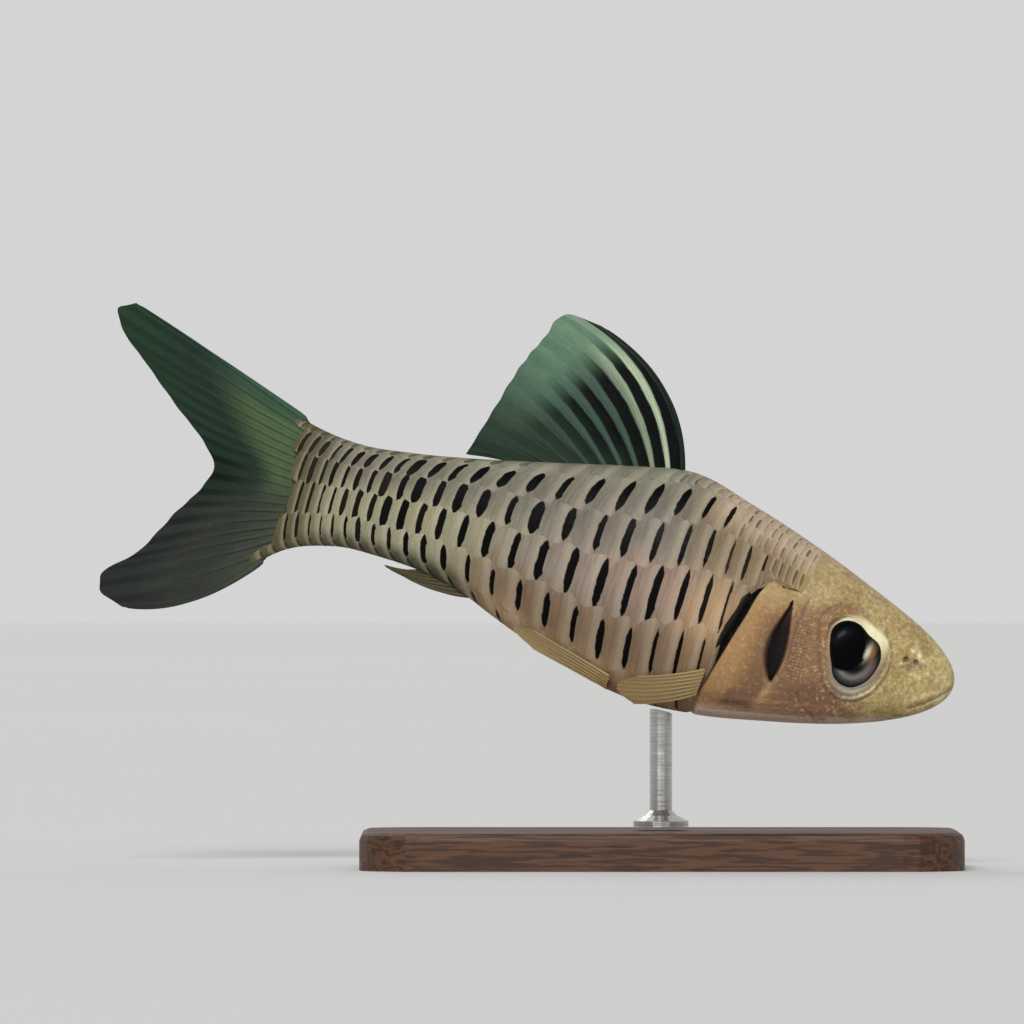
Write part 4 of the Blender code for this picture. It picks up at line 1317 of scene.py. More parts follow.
@dataclass
class Skin:
    """One closed skin from the snout to the tail's base, with the gill cover's real fold."""
    relief: HeadRelief = HeadRelief()
    columns: int = 288
    head_rows: int = 258
    trunk_rows: int = 60
    flank_crowding: float = 0.20
    middle_gill: float = 0.31
    gill_passes: int = 12
    inset: float = 0.16 * MM
    # Place, and the height over which scales cover the nape and the top of the gill cover
    scale_border: tuple = ((0.234, 0.200), (0.240, 0.120), (0.246, 0.075), (0.252, 0.055),
                           (0.260, 0.050), (0.272, 0.054), (0.285, 0.0605), (0.298, 0.0625),
                           (0.310, 0.050))
    # The gill flap from its crest to the trunk's skin: along the fish and outwards, in mm
    flap: tuple = ((-0.10, 0.0), (-0.03, -0.015), (0.02, -0.05), (0.04, -0.10), (0.02, -0.16),
                   (-0.05, -0.22), (-0.16, -0.28), (-0.26, -0.34), (-0.30, -0.42), (-0.24, -0.48),
                   (-0.10, -0.52), (0.10, -0.50), (0.30, -0.42), (0.52, -0.30), (0.75, -0.18))
    # The rounded end at the tail: how far back each row stands, and the share it shrinks to
    end: tuple = ((0.0006, 1.0), (0.0030, 0.92), (0.0045, 0.7), (0.0052, 0.35), (0.0055, 0.0))

    def _rows(self, angle: Array) -> tuple[Array, Array, Array]:
        """Places, outward lifts in metres and closing shares of the grid's rows.

        The rows crowd towards the snout; near the gills each is shifted to follow the gill line,
        and at the tail to follow the tail's base.

        Args:
            angle: The columns' angles.

        Returns:
            Places, lifts and the share to which the section is shrunk at the tail.
        """
        gill = np.full_like(angle, self.middle_gill)
        for _ in range(self.gill_passes):
            gill = 0.5 * gill + 0.5 * FORM.gill_line(FORM.height(gill, angle))
        level = FORM.height(gill, angle)
        folded = rise(0.070, 0.052, level) * rise(-0.128, -0.096, level)
        unit = np.linspace(0.0, 1.0, self.head_rows)
        ahead = self.middle_gill * (0.12 * unit**2 + 0.88 * unit**1.25)
        size = MM / LENGTH
        steps, lifts = np.array(self.flap).T[..., None]
        spread = np.linspace(0.05, 0.80, len(steps))[:, None]
        flap = self.middle_gill + size * spread[:, 0]
        behind = np.linspace(flap[-1], FORM.tail_base, self.trunk_rows + 1)[1:]
        base = np.concatenate((ahead, flap, behind))[:, None]
        reach = np.where(base < self.middle_gill, 0.13, 0.60)
        places = base + (gill - self.middle_gill) * rise(reach, self.middle_gill, base)
        folding = slice(len(ahead), len(ahead) + len(flap))
        places[folding] = gill + size * (spread + (steps - spread) * folded)
        end = FORM.tail_base_line(FORM.height(np.full_like(angle, FORM.tail_base), angle))
        places += (end - FORM.tail_base) * rise(0.86, FORM.tail_base, base)
        lift = -self.inset * self.scaled(places, FORM.height(places, angle))
        lift[folding] += (MM * lifts - lift[folding]) * folded
        back, shares = np.array(self.end).T[..., None]
        tail = places[-1:] + back
        closing = np.concatenate((np.ones((len(base), 1)), shares))
        return (np.concatenate((places, tail)),
                np.concatenate((lift, np.full_like(tail, -self.inset))), closing)

    def scaled(self, s: Array, h: Array) -> Array:
        """1 where scales cover the skin, 0 on the bare head.

        The border runs over the nape and the gill cover, then down the gill line. How far a point
        lies over it is its height over the curve, divided by the length of the curve's slope.

        Args:
            s: Places.
            h: Heights.

        Returns:
            The shares.
        """
        slope = (curve(s + 0.001, *self.scale_border) - curve(s - 0.001, *self.scale_border)) / 0.002
        over = (h - curve(s, *self.scale_border)) / np.hypot(1.0, slope)
        return np.maximum(rise(-0.002, 0.006, s - FORM.gill_line(h)),
                          rise(-0.002, 0.005, over) * rise(0.225, 0.235, s))

    def build(self, material: Material) -> Object:
        """Make the skin: place every row, add the relief, paint it and bend it.

        Args:
            material: The finish.

        Returns:
            The piece.
        """
        share = np.arange(self.columns + 1) / self.columns
        angle = TURN * share + self.flank_crowding * np.sin(2.0 * TURN * share)
        s, lift, closing = self._rows(angle)
        side, h = FORM.section(s, angle)
        points = FORM.surface(s, np.broadcast_to(angle, s.shape), lift)
        bare = slice(0, self.head_rows)
        points[bare, :, 1] += (self.relief.shaped(s, side, h) - side)[bare]
        flap = slice(self.head_rows, self.head_rows + len(self.flap))
        raised = self.relief.cover_raise * self.relief.cover_span(h[flap])
        points[flap, :, 1] += np.sign(side[flap]) * raised * rise(-0.30, 0.0, lift[flap] / MM)
        back, belly, _ = FORM.outline(s)
        middle = FORM.points(s, 0.0, 0.5 * (back + belly))
        points = middle + (points - middle) * closing[..., None]
        paint, masks = self._paint(s, h, lift)
        rows = np.linspace(0.0, 1.0, len(s))[:, None]
        maps = {"OFBake": bake_patch(rows, share[None, :], (0.001, 0.001), (0.999, 0.999)),
                "SkinMap": stacked(s, h) * LENGTH / MM}
        stock = MeshStock()
        stock.add_round(FORM.pose(points)[:, :-1], maps,
                        {"paint": paint[:, :-1], "masks": masks[:, :-1]})
        return stock.build("body_skin", material)

    def _paint(self, s: Array, h: Array, lift: Array) -> Pair:
        """The colours over the skin: the head's, the trunk's, darkened as painted shade under the
        scales, and black painted shade inside the gill fold.

        Args:
            s: Places.
            h: Heights.
            lift: How far the skin is lifted, in metres.

        Returns:
            Linear colours, and the head's masks.
        """
        head, masks = self.relief.paint(s, h)
        gap = s - FORM.gill_line(h)
        behind = np.maximum(rise(-0.002, 0.003, gap), self.scaled(s, h) * rise(0.275, 0.300, s))
        # Painted shade: the skin under the scales takes 0.45 of the flank's colour, nearly all of it at
        # the nape's border and low on the gill line, where it shows
        front = np.maximum(rise(0.325, 0.300, s) * rise(0.040, 0.052, h), rise(-0.070, -0.092, h))
        trunk = BodyPaint.flank(s, h) * (0.45 + 0.50 * front)[..., None]
        # Painted shade: black on the trunk's skin deep in the gill fold, just behind the flap
        reach = FORM.gill_gap(h) + 0.010
        gill_shade = (rise(-0.05, -0.15, lift / MM) * rise(reach + 0.004, reach, gap)
                * rise(-0.020, -0.012, gap) * rise(0.069, 0.060, h) * rise(-0.096, -0.072, h))
        paint = head + (trunk - head) * behind[..., None]
        return coats(paint, ("gap_shade", gill_shade)), masks * (1.0 - 0.9 * behind[..., None])


@dataclass
class Scales:
    """The overlapping scales of the trunk and the stalk, finer ones on the nape."""
    lattice: ScaleLattice = field(default_factory=ScaleLattice)
    half_width: float = 0.61
    root: float = -1.08
    lift_at_root: float = -0.058 * MM
    lift_at_edge: float = 0.006 * MM
    thickness: float = 0.026 * MM
    crown: float = 0.02 * MM
    tuck: float = 0.003
    tuck_depth: float = 0.22 * MM
    seed: int = 7
    fine: float = 0.5
    # How far back the finer scales reach in the two rows nearest the back; the large ones start
    # a little before that
    fine_ends: Spot = (0.462, 0.358)
    large_starts: Spot = (0.455, 0.352)
    across_nodes: tuple = (-1.0, -0.95, -0.78, -0.42, 0.0, 0.42, 0.78, 0.95, 1.0)
    along_nodes: tuple = (0.0, 0.52, 0.80, 0.95, 1.0)
    # How level a row lies, from 0 at the back to 1 at the belly, and how far its scales slant
    slant: tuple = ((0.0, 0.50), (0.25, 0.36), (0.42, 0.06), (0.60, 0.0), (0.78, -0.22), (0.95, -0.50))
    # The same level, and half the height of the bar on a scale there
    bar_heights: tuple = ((0.08, 0.34), (0.25, 0.44), (0.42, 0.49), (0.58, 0.56), (0.75, 0.41),
                          (0.92, 0.34))
    covered: Callable[[Array, Array], Array] = field(default_factory=lambda: Skin().scaled)

    def _tuck(self, s: Array, h: Array) -> Pair:
        """Hold the scales behind the gill flap: they shorten there and dip under it.

        A place behind the gill line is eased so that it never comes nearer than a little gap: the
        gap's own width times the logarithm of one plus e to the distance over that width.

        Args:
            s: Places.
            h: Heights.

        Returns:
            The eased places, and 1 at the gill line falling to 0 behind it.
        """
        edge = FORM.gill_line(h) + FORM.gill_gap(h)
        eased = edge + self.tuck * np.logaddexp(0.0, (s - edge) / self.tuck)
        low = rise(0.062, 0.052, h)
        held = s + (eased - s) * low
        return held, low * rise(0.0075, 0.0015, held - edge)

    def _leaf(self) -> Pair:
        """A scale's own grid: a backwards from its root to its rear edge, b across.

        The rear edge is a superellipse: one less the share of the half width to the power 5,
        to the power 1/2.2; the root is straight with rounded corners.

        Returns:
            The grids of a and b.
        """
        across = np.array(self.across_nodes)
        along = np.array(self.along_nodes)[:, None]
        rear = (1.0 - np.minimum(np.abs(across), 0.985) ** 5) ** (1.0 / 2.2)
        front = self.root + 0.30 * np.abs(across) ** 3
        b = self.half_width * across * (0.90 + 0.10 * np.sin(math.pi * along))
        return front + (rear - front) * along, b

    def _roots(self) -> tuple[Array, Array, Array]:
        """Column numbers, shares of the girth and sizes of all scales.

        Even rows stand on whole columns and odd rows half way between. On the nape each scale
        gives way to finer ones, at half the spacing both ways.

        Returns:
            The three, each with two spare axes for the scales' own grids.
        """
        large = self.lattice.rows
        found = []
        for size, ends in ((1.0, self.large_starts), (self.fine, self.fine_ends)):
            rows = round(large / size)
            number, row = np.meshgrid(np.arange(0.0, math.floor(self.lattice.columns) / size),
                                      np.arange(rows), indexing="ij")
            number = size * (number + 0.5 * (row % 2))
            share = (row + 0.5) / rows
            s = self.lattice.place(number)
            h = FORM.height(s, self.lattice.angle(share, s))
            line = np.minimum(np.floor(row * size), large - 1 - np.floor(row * size))
            keep = s < np.select([line == 0, line == 1], ends, 0.0)
            if size == self.fine:
                keep = (keep | ((h > 0.046) & (s < 0.306))) & (self.covered(s, h) > 0.3)
            else:
                behind_gills = s - FORM.gill_line(h) > -0.008
                keep = ~keep & behind_gills & (s < FORM.tail_base_line(h) + 0.002)
            found.append((number[keep], share[keep], np.full(keep.sum(), size)))
        return tuple(np.concatenate(parts)[:, None, None] for parts in zip(*found))

    def _marks(self, number: Array, share: Array, small: Array) -> tuple[Array, Array, Array]:
        """Width, strength and half height of each scale's dark bar.

        The bars are boldest on the middle of the flank, thin lines behind the gills, brown
        touches on the nape, wide on the stalk, and missing along the ridge of the back.

        Args:
            number: The scales' column numbers.
            share: Their shares of the girth.
            small: Whether they are finer ones.

        Returns:
            Three arrays with a number for each scale.
        """
        s = self.lattice.place(number)
        h = FORM.height(s, self.lattice.angle(share, s))
        level = 1.0 - np.abs(2.0 * share - 1.0)
        strength = ((0.62 + 0.38 * rise(0.36, 0.41, s)) * (1.0 - 0.28 * rise(0.68, 0.82, s))
                    * (1.0 - 0.10 * rise(0.92, 0.98, s)) * (1.0 - 0.40 * rise(0.85, 0.93, level)))
        strength *= s >= FORM.gill_line(h) + FORM.gill_gap(h) + 0.010
        strength = np.where(level < 0.12, 0.36 * rise(0.60, 0.72, s), strength)
        width = (0.30 + 0.14 * rise(0.68, 0.84, s) - 0.08 * rise(0.46, 0.37, s)
                 - 0.06 * rise(0.64, 0.76, level) - 0.05 * rise(0.80, 0.92, level)
                 + 0.10 * rise(0.54, 0.64, s) * rise(0.52, 0.36, level) - 0.11 * rise(0.84, 0.93, s))
        height = curve(level, *self.bar_heights) + 0.15 * rise(0.66, 0.82, s)
        return (np.where(small, 0.24, width), np.where(small, 0.35, strength),
                np.where(small, 0.50, height))

    def build(self, material: Material) -> Object:
        """Make every scale from its own grid, laid on the skin's surface.

        Args:
            material: The finish.

        Returns:
            The piece.
        """
        leaf_a, leaf_b = self._leaf()
        root_number, root_share, size = self._roots()
        small = size < 0.9
        loose = 1.0 + 3.0 * small
        jitter = np.random.default_rng(self.seed).uniform(-1.0, 1.0, (5,) + size.shape)
        a = leaf_a * (1.0 + 0.03 * loose * jitter[0])
        b = leaf_b * (1.0 + 0.03 * loose * jitter[1])
        level = 1.0 - np.abs(2.0 * root_share - 1.0)
        slant = curve(level, *self.slant) * (1.0 + 0.5 * rise(0.62, 0.80, self.lattice.place(root_number)))
        slant = np.where(root_share < 0.5, slant, -slant)
        number = root_number + size * (a + slant * b + 0.035 * loose * jitter[2])
        share = root_share + size * (b + 0.03 * jitter[3]) / self.lattice.rows
        s = self.lattice.place(number)
        angle = self.lattice.angle(share, s)
        s, tucked = self._tuck(s, FORM.height(s, angle))
        along = (a - self.root) / (1.0 - self.root)
        lift = (self.lift_at_edge - (self.lift_at_edge - self.lift_at_root) * (1.0 - along) * size
                - self.crown * (b / self.half_width) ** 2 - self.tuck_depth * tucked)
        thin = self.thickness * (1.0 - 0.45 * rise(0.75, 1.0, along))
        width, strength, height = self._marks(root_number, root_share, small)
        stalk = rise(0.66, 0.82, s[:, :1, :1])
        traits = stacked(width * (1.0 + (0.18 + 0.12 * stalk) * loose * jitter[1]),
                         strength * (1.0 - 0.14 * loose * np.abs(jitter[4])),
                         0.5 + 0.5 * jitter[0],
                         height + (0.03 + 0.05 * stalk) * loose * jitter[4])
        paints = {"paint": BodyPaint.flank(s, FORM.height(s, angle)),
                  "traits": np.broadcast_to(traits, s.shape + (4,))}
        unit = np.array(self.along_nodes)[:, None]
        cell = size / self.lattice.columns
        u = root_number / self.lattice.columns
        v = root_share + size / self.lattice.rows * 0.45 * np.array(self.across_nodes)
        own = stacked(b, a)
        stock = MeshStock()
        stock.add_leaf(FORM.pose(FORM.surface(s, angle, lift)),
                       FORM.pose(FORM.surface(s, angle, lift - thin)),
                       {"OFBake": stacked(u + cell * (-0.46 + 0.58 * unit), v), "ScaleMap": own},
                       {"OFBake": stacked(u + cell * (0.16 + 0.30 * unit), v), "ScaleMap": own},
                       paints, flip=False)
        return stock.build("scales", material)


@dataclass
class RayedFin:
    """A fin of rays and membrane in the fish's middle plane, from a table of its rays."""
    name: str
    nodes: tuple[str, ...]
    # Ray number, then place and height of its root, of the lean it is drawn to, and of its tip
    rays: tuple
    # Ray number and how far the fin's tip swings to the left there, in metres
    sway: tuple
    tint: Callable[[Array, Array], Pair]
    sink: float = 0.0
    root_thickness: float = 0.60 * MM
    membrane: float = 0.16 * MM
    ruffle: float = 0.05 * MM
    # How fast the ruffle's wave runs over the rays and along them
    ruffle_wave: Spot = (5.3, 4.0)
    ray_radius: float = 0.34 * MM
    ray_tip_radius: float = 0.065 * MM
    ray_end: float = 0.975
    split_at: float = 0.42
    split_spread: float = 0.17
    split_ray_end: float = 0.62
    branch_share: float = 0.72
    unsplit: tuple = (0,)
    joints: float = 46.0
    joint_depth: float = 0.14
    notch: float = 0.007
    along_rows: int = 44
    columns_per_ray: int = 6
    round_points: int = 8

    def flat(self, column: Array, along: Array) -> Array:
        """Each ray runs from its root to its tip and is drawn towards its lean.

        The root counts by the square of the share left, the tip by the square of the share gone,
        and the lean by twice their product.

        Args:
            column: Ray numbers.
            along: Shares of the way to the tips.

        Returns:
            Places and heights, in one more axis.
        """
        table = np.array(self.rays, float)
        table[:, 2] += self.sink
        shape = smooth_through(column, table)
        t = np.asarray(along)[..., None]
        return ((1 - t) ** 2 * shape[..., 0:2] + 2 * t * (1 - t) * shape[..., 2:4]
                + t**2 * shape[..., 4:6])

    def middle(self, column: Array, along: Array) -> Pair:
        """Points of the fin's middle sheet on the straight fish, and its outward directions.

        Args:
            column: Ray numbers.
            along: Shares of the way to the tips.

        Returns:
            Points and unit vectors.
        """
        flat = self.flat(column, along)
        ruffle = self.ruffle * np.sin(column * self.ruffle_wave[0] + along * self.ruffle_wave[1])
        side = (curve(column, *self.sway) + ruffle) * along**2
        points = FORM.points(flat[..., 0], side, flat[..., 1])
        return points, np.broadcast_to((0.0, 1.0, 0.0), points.shape)

    def _sheet(self, stock: MeshStock) -> None:
        """Add the membrane: thick at its root, thin at its scalloped edge.

        Between the rays it is thinner and ends earlier, by the square of a sine.

        Args:
            stock: Gathers the sheet.
        """
        last = int(self.rays[-1][0])
        column = np.linspace(0.0, last, last * self.columns_per_ray + 1)[:, None]
        between = np.sin(math.pi * (column % 1.0)) ** 2
        along = np.linspace(0.0, 1.0, self.along_rows) * (0.999 - self.notch * between)
        column = np.broadcast_to(column, along.shape)
        points, out = self.middle(column, along)
        thick = np.interp(along, (0.0, 0.2, 0.8, 1.0),
                          (self.root_thickness, self.membrane, self.membrane, 0.5 * self.membrane))
        lift = out * (0.5 * thick * (1.0 - 0.25 * between))[..., None]
        rows, columns = (np.linspace(0.0, 1.0, count) for count in along.shape)
        maps = [{"OFBake": bake_patch(rows[:, None], columns, (start, 0.002), (end, 0.498)),
                 "FinMap": stacked(column, along)} for start, end in ((0.002, 0.498), (0.502, 0.998))]
        color, bright = self.tint(column / last, along)
        stock.add_leaf(FORM.pose(points + lift), FORM.pose(points - lift), *maps,
                       {"paint": color, "ray_paint": bright}, flip=self._turned())

    def _turned(self) -> bool:
        """Whether the sheet's grid runs the way that needs its faces turned over."""
        points, out = self.middle(np.array([0.0, 0.0, 1.0]), np.array([0.4, 0.6, 0.4]))
        return float(np.cross(points[1] - points[0], points[2] - points[0]) @ out[0]) < 0.0

    def _branches(self) -> list[Array]:
        """List every branch.

        Returns:
            The ray numbers at the roots and at the tips, and where the branches start.
        """
        last = int(self.rays[-1][0])
        whole = np.arange(last + 1.0)
        split = whole[~np.isin(whole, self.unsplit)]
        root = np.concatenate((whole, split, split))
        tip = np.concatenate((whole, split - self.split_spread, split + self.split_spread))
        start = np.concatenate((np.zeros(last + 1), np.full(2 * len(split), self.split_at)))
        return [part[:, None] for part in (root, np.clip(tip, 0.0, last), start)]

    def _tubes(self, stock: MeshStock) -> None:
        """Add the rays: tapered, jointed tubes that split towards their tips.

        A branch starts inside its ray and moves aside with the square root of the way left. Each
        joint is a slight waist: the radius shrinks with a sharp power of a cosine.

        Args:
            stock: Gathers the tubes.
        """
        root, tip, start = self._branches()
        unit = np.linspace(0.0, 1.0, self.along_rows)
        whole = start == 0.0
        end = np.where(whole & ~np.isin(root, self.unsplit), self.split_ray_end, self.ray_end)
        along = start + (end - start) * unit
        column = root + (tip - root) * np.sqrt(np.clip((along - start) / (1.0 - start + 1e-9), 0.0, 1.0))
        points, out = self.middle(column, along)
        run = np.gradient(points, axis=-2)
        run /= np.linalg.norm(run, axis=-1, keepdims=True)
        radius = self.ray_radius + (self.ray_tip_radius - self.ray_radius) * along**0.7
        radius = radius * np.where(whole, 1.0, self.branch_share)
        radius *= 1.0 - (self.joint_depth * rise(0.30, 0.45, along)
                         * np.abs(np.cos(self.joints * math.pi * along)) ** 8)
        radius *= np.sqrt(np.clip(1.0 - np.abs(2.0 * unit - 1.0) ** 24, 0.0, 1.0))
        turn = TURN * np.arange(self.round_points)[:, None] / self.round_points
        across, out = np.cross(out, run)[..., None, :], out[..., None, :]
        ring = points[..., None, :] + radius[..., None, None] * (
            0.9 * np.cos(turn) * across + np.sin(turn) * out)
        _, bright = self.tint(column / self.rays[-1][0], along)
        paint = np.broadcast_to(bright[..., None, :], ring.shape)
        lane = np.arange(len(root))[:, None, None]
        lap = np.linspace(0.0, 1.0, self.round_points + 1)
        bake = stacked(0.01 + 0.98 * unit[:, None], 0.502 + 0.496 * (lane + 0.9 * lap) / len(root))
        own = np.broadcast_to(stacked(column, along)[..., None, :], bake.shape)
        stock.add_round(FORM.pose(ring), {"OFBake": bake, "FinMap": own},
                        {"paint": paint, "ray_paint": paint})

    def build(self, sheet: Material, rays: Material, slot: Slot) -> None:
        """Make the fin's membrane and its rays as two pieces.

        Args:
            sheet: The membrane's finish.
            rays: The rays' finish.
            slot: The record's slot for both.
        """
        for part, material, fill, nodes in (("membrane", sheet, self._sheet, self.nodes),
                                            ("rays", rays, self._tubes, ())):
            stock = MeshStock()
            fill(stock)
            place_piece(stock.build(f"{self.name}_{part}", material), slot, *nodes)


@dataclass
class PairedFin(RayedFin):
    """A fin that lies back along the body: its table gives angles round the section."""
    side: Side = Side.RIGHT
    spread: float = 0.5 * MM
    clearance: float = 0.42 * MM

    def middle(self, column: Array, along: Array) -> Pair:
        """Points over the skin, lifted clear of it and spreading with the square of the way.

        The table's angle is the superellipse's own, so its sine and cosine to the power of two
        over the section's power give the slope of the ray that the section takes.

        Args:
            column: Ray numbers.
            along: Shares of the way to the tips.

        Returns:
            Points and unit vectors.
        """
        flat = self.flat(column, along)
        s, turn = flat[..., 0], np.radians(flat[..., 1])
        power = 2.0 / FORM.squareness(s)
        up = np.sign(np.cos(turn)) * np.abs(np.cos(turn)) ** power
        angle = np.arctan2(np.sin(turn) ** power, up)
        low = FORM.surface(s, angle)
        out = (FORM.surface(s, angle, MM) - low) / MM
        points = low + out * (self.clearance + self.spread * along**2)[..., None]
        mirror = np.array((1.0, self.side.value, 1.0))
        return points * mirror, out * mirror


class FinTints:
    """The fins' colours, for the membranes and for the rays."""

    @staticmethod
    def dorsal(share: Array, along: Array) -> Pair:
        """Black between pale front rays, green grey behind, and pale green at the crown.

        Args:
            share: Share of the way from the first ray to the last.
            along: Share of the way to the tips.

        Returns:
            Colours of the membrane and of the rays.
        """
        reach = 0.74 - 0.30 * rise(0.25, 0.75, share)
        ink = (rise(0.70, 0.36, share) * rise(reach + 0.07, reach - 0.05, along)
               * (1.0 - rise(0.30, 0.45, share) * rise(0.30, 0.10, along)))
        crown = rise(0.58, 0.86, along) * rise(0.95, 0.30, share) * rise(0.02, 0.12, share)
        sheet = coats(
            plain("dorsal_mid", share),
            ("dorsal_rear", rise(0.45, 0.8, share)),
            ("fin_black", ink),
            ("dorsal_crown", crown),
            ("fin_black", 0.75 * rise(0.11, 0.06, share)))
        return sheet, coats(
            plain("dorsal_ray", share),
            ("dorsal_rear", 0.8 * rise(0.50, 0.80, share)),
            ("dorsal_front_ray", 0.9 * hill(share, 0.14, 0.09)),
            ("dorsal_crown", 0.8 * crown),
            ("fin_black", 0.85 * rise(0.05, 0.03, share)))

    @staticmethod
    def tail(share: Array, along: Array) -> Pair:
        """The upper lobe green at its base and dark green beyond, the lower one grey brown.

        The fork between them is darkest, and the change from one lobe to the other is soft.

        Args:
            share: Share of the way from the first ray to the last.
            along: Share of the way to the tips.

        Returns:
            Colours of the membrane and of the rays.
        """
        upper = coats(
            plain("upper_mid", share),
            ("upper_tip", rise(0.6, 0.95, along)),
            ("upper_base", rise(0.52, 0.22, along) * rise(0.0, 0.12, share)),
            ("teal", 0.7 * rise(0.12, 0.0, share) * rise(0.6, 0.2, along)))
        lower = coats(
            plain("lower_mid", share),
            ("lower_base", rise(0.5, 0.05, along)),
            ("lower_tip", rise(0.55, 0.9, along)))
        both = upper + (lower - upper) * rise(0.42, 0.66, share)[..., None]
        sheet = coats(both, ("fork", hill(share, 0.52, 0.13) * rise(0.35, 0.9, along)))
        return sheet, coats(sheet, ("dorsal_ray", 0.16))

    @staticmethod
    def pale(share: Array, along: Array) -> Pair:
        """Pale yellow, paler at the rays."""
        return coats(plain("pale", share), ("pale_ray", 0.5 * along)), plain("pale_ray", share)

    @staticmethod
    def anal(share: Array, along: Array) -> Pair:
        """Olive grey, paler at the rays."""
        olive = plain("anal", share)
        return coats(olive, ("dorsal_mid", 0.4 * along)), coats(olive, ("pale_ray", 0.15))


@dataclass(frozen=True)
class Fins:
    """All the fins, from the solids' own tables of rays."""
    sink: float = 0.022
    tail_tuck: float = 0.004
    still: tuple = ((0, 0.0), (9, 0.0))
    dorsal: tuple = (
        (0, 0.462, 0.184, 0.488, 0.307, 0.640, 0.3505), (1, 0.480, 0.181, 0.530, 0.320, 0.688, 0.354),
        (3, 0.520, 0.172, 0.590, 0.270, 0.717, 0.308), (5, 0.560, 0.162, 0.630, 0.218, 0.739, 0.258),
        (7, 0.600, 0.152, 0.668, 0.168, 0.758, 0.190), (9, 0.640, 0.142, 0.706, 0.131, 0.779, 0.116))
    anal: tuple = (
        (0, 0.688, -0.094, 0.745, -0.094, 0.815, -0.079),
        (2, 0.712, -0.085, 0.770, -0.086, 0.836, -0.0755),
        (5, 0.752, -0.072, 0.795, -0.075, 0.845, -0.072))
    upper_tail: tuple = (
        (0, 1.011, 0.097, 1.185, 0.158, 1.303, 0.193), (1, 1.008, 0.086, 1.175, 0.133, 1.328, 0.179),
        (2, 1.004, 0.075, 1.170, 0.112, 1.317, 0.154), (4, 0.998, 0.053, 1.140, 0.073, 1.270, 0.113),
        (6, 0.995, 0.032, 1.105, 0.040, 1.208, 0.064), (8, 0.993, 0.011, 1.065, 0.013, 1.148, 0.021),
        (9, 0.993, 0.0035, 1.060, 0.002, 1.125, -0.0005))
    lower_tail: tuple = (
        (0, 0.993, -0.0035, 1.060, -0.005, 1.124, -0.008),
        (1, 0.993, -0.013, 1.062, -0.019, 1.128, -0.033),
        (3, 0.996, -0.034, 1.072, -0.052, 1.155, -0.087),
        (5, 1.000, -0.056, 1.080, -0.089, 1.190, -0.155),
        (7, 1.006, -0.078, 1.092, -0.140, 1.234, -0.204),
        (8, 1.010, -0.092, 1.098, -0.175, 1.226, -0.228),
        (9, 1.017, -0.113, 1.095, -0.226, 1.190, -0.239))
    pectoral: tuple = (
        (0, 0.353, 122, 0.392, 131, 0.446, 138), (2, 0.354, 127, 0.396, 137, 0.462, 145),
        (4, 0.355, 132, 0.394, 143, 0.464, 152), (7, 0.356, 140, 0.380, 150, 0.436, 160))
    pelvic: tuple = (
        (0, 0.478, 148, 0.530, 143, 0.606, 141), (2, 0.480, 153, 0.535, 148, 0.628, 147),
        (3, 0.480, 156, 0.535, 151, 0.626, 151), (5, 0.478, 161, 0.520, 158, 0.592, 157))

    def build(self) -> None:
        """Make the fins: the green ones upright, the pale ones in pairs."""
        sheet = FinFinish("green_membrane").make()
        rays = FinFinish("green_rays", roughness=0.38, streaks=0.20).make()
        pale_sheet = FinFinish("pale_membrane", dark=on_screen(134, 113, 76)).make()
        pale_rays = FinFinish("pale_rays", dark=on_screen(150, 128, 84), streaks=0.2).make()
        standing = (
            RayedFin("dorsal", ("dorsal_fin",), self.dorsal, ((0, 0.48 * MM), (9, 1.2 * MM)),
                     FinTints.dorsal, -self.sink, unsplit=(0, 1)),
            RayedFin("anal", ("anal_fin",), self.anal, ((0, 0.08 * MM), (5, 0.2 * MM)),
                     FinTints.anal, self.sink),
            RayedFin("tail", ("tail_fin_upper", "tail_fin_lower"), self._whole_tail(),
                     ((0, 0.36 * MM), (8, 0.80 * MM), (10, -0.20 * MM), (18, -0.60 * MM)),
                     FinTints.tail, split_at=0.35, split_spread=0.24, unsplit=(0, 18)))
        for fin in standing:
            fin.build(sheet, rays, Slot.GREEN_FIN)
        for side in Side:
            for name, table in (("pectoral", self.pectoral), ("pelvic", self.pelvic)):
                fin = PairedFin(f"{name}_{side.word}", (f"{name}_fin_{side.word}",), table, self.still,
                                FinTints.pale, side=side, root_thickness=0.35 * MM,
                                membrane=0.12 * MM, ray_radius=0.13 * MM, ray_tip_radius=0.045 * MM,
                                along_rows=30)
                fin.build(pale_sheet, pale_rays, Slot.PALE_FIN)

    def _whole_tail(self) -> Array:
        """Both lobes in one table, its roots drawn a little forward under the last scales.

        Returns:
            The table of rays.
        """
        upper, lower = np.array(self.upper_tail), np.array(self.lower_tail)
        lower[:, 0] += upper[-1, 0]
        table = np.concatenate((upper[:-1], 0.5 * (upper[-1:] + lower[:1]), lower[1:]))
        table[:, 1] -= self.tail_tuck
        return table


